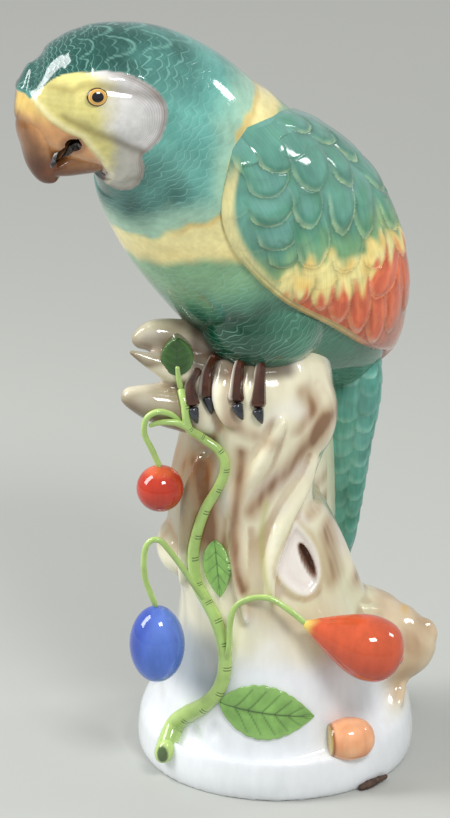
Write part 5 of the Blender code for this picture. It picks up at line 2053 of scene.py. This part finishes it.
class PARROT_OT_stage(bpy.types.Operator):
    """Pale floor, soft lamps, world and camera"""

    bl_idname = "parrot.stage"
    bl_label = "Stage"

    floor_half = 6
    # Each lamp's bearing and height in degrees, distance, width, length and power in watts.
    lamps = (
        ("front_window", 24, 44, 1500, 460, 300, 10.5),
        ("left_window", -84, 38, 1500, 520, 1100, 18.0),
        ("right_window", 100, 33, 1500, 240, 240, 2.6),
    )

    def execute(self, context):
        scene = context.scene
        target = Vector(LOOK_AT) * MM
        tilt = math.radians(CAMERA_HEIGHT_DEG)
        back = Vector((0, -math.cos(tilt), math.sin(tilt)))
        data = bpy.data.cameras.new("camera")
        data.sensor_fit = "VERTICAL"
        data.sensor_height = 36
        data.lens = data.sensor_height * FOCAL_SHARE
        data.clip_end = 50
        camera = bpy.data.objects.new("camera", data)
        camera.location = target + back * CAMERA_DISTANCE * MM
        camera.rotation_euler = (math.pi / 2 - tilt, 0, 0)
        scene.collection.objects.link(camera)
        scene.camera = camera
        for name, azimuth, height, distance, width, length, power in self.lamps:
            lamp = bpy.data.lights.new(name, "AREA")
            lamp.shape = "RECTANGLE"
            lamp.size = width * MM
            lamp.size_y = length * MM
            lamp.energy = power
            obj = bpy.data.objects.new(name, lamp)
            turn, climb = math.radians(azimuth), math.radians(height)
            level = math.cos(climb)
            way = Vector((math.sin(turn) * level, -math.cos(turn) * level, math.sin(climb)))
            obj.location = target + way * distance * MM
            obj.rotation_euler = way.to_track_quat("Z", "Y").to_euler()
            scene.collection.objects.link(obj)
        bm = bmesh.new()
        bmesh.ops.create_grid(bm, x_segments=1, y_segments=1, size=self.floor_half)
        mesh = bpy.data.meshes.new("floor")
        bm.to_mesh(mesh)
        bm.free()
        floor = bpy.data.objects.new("floor", mesh)
        scene.collection.objects.link(floor)
        glaze = Glaze("floor_paint", 0.9)
        glaze.shader.inputs["Coat Weight"].default_value = 0.0
        glaze.shader.inputs["Specular IOR Level"].default_value = 0.1
        split = glaze.nodes.new("ShaderNodeSeparateXYZ")
        glaze.links.new(glaze.place(), split.inputs[0])
        # The floor is painted paler further off: painted light that makes up for the lamps' light falling
        # off with distance.
        colour = glaze.mix(glaze.ramp(split.outputs[1], -0.2, 0.7), srgb(186, 188, 183), srgb(194, 195, 189))
        far = glaze.ramp(split.outputs[1], 0.6, 2.0)
        mesh.materials.append(glaze.done(glaze.mix(far, colour, srgb(219, 219, 212))))
        world = bpy.data.worlds.new("world")
        world.use_nodes = True
        scene.world = world
        sky = world.node_tree.nodes["Background"]
        sky.inputs["Color"].default_value = (*srgb(236, 238, 240), 1)
        sky.inputs["Strength"].default_value = 0.6
        scene.view_settings.view_transform = "Standard"
        return {"FINISHED"}


OPERATORS = (
    PARROT_OT_stage,
    PARROT_OT_stump,
    PARROT_OT_body,
    PARROT_OT_wings,
    PARROT_OT_tail,
    PARROT_OT_beak,
    PARROT_OT_eyes,
    PARROT_OT_feet,
    PARROT_OT_residue,
    PARROT_OT_vine,
    PARROT_OT_nut,
    PARROT_OT_leaves,
)


class PARROT_PT_panel(bpy.types.Panel):
    """Lists the pieces and the values"""

    bl_idname = "PARROT_PT_panel"
    bl_label = "Porcelain parrot"
    bl_space_type = "VIEW_3D"
    bl_region_type = "UI"
    bl_category = "Parrot"

    def draw(self, context):
        for name in ParrotSettings.__annotations__:
            self.layout.prop(context.scene.parrot, name)
        for operator in OPERATORS:
            self.layout.operator(operator.bl_idname)


CLASSES = (ParrotSettings, *OPERATORS, PARROT_PT_panel)


def register():
    """Adds the settings, operators and panel."""
    for cls in CLASSES:
        bpy.utils.register_class(cls)
    bpy.types.Scene.parrot = PointerProperty(type=ParrotSettings)


def unregister():
    """Takes them away."""
    del bpy.types.Scene.parrot
    for cls in reversed(CLASSES):
        bpy.utils.unregister_class(cls)


def main():
    """Makes the stage and every piece."""
    register()
    for operator in OPERATORS:
        group, name = operator.bl_idname.split(".")
        getattr(getattr(bpy.ops, group), name)()


if __name__ == "__main__":
    main()
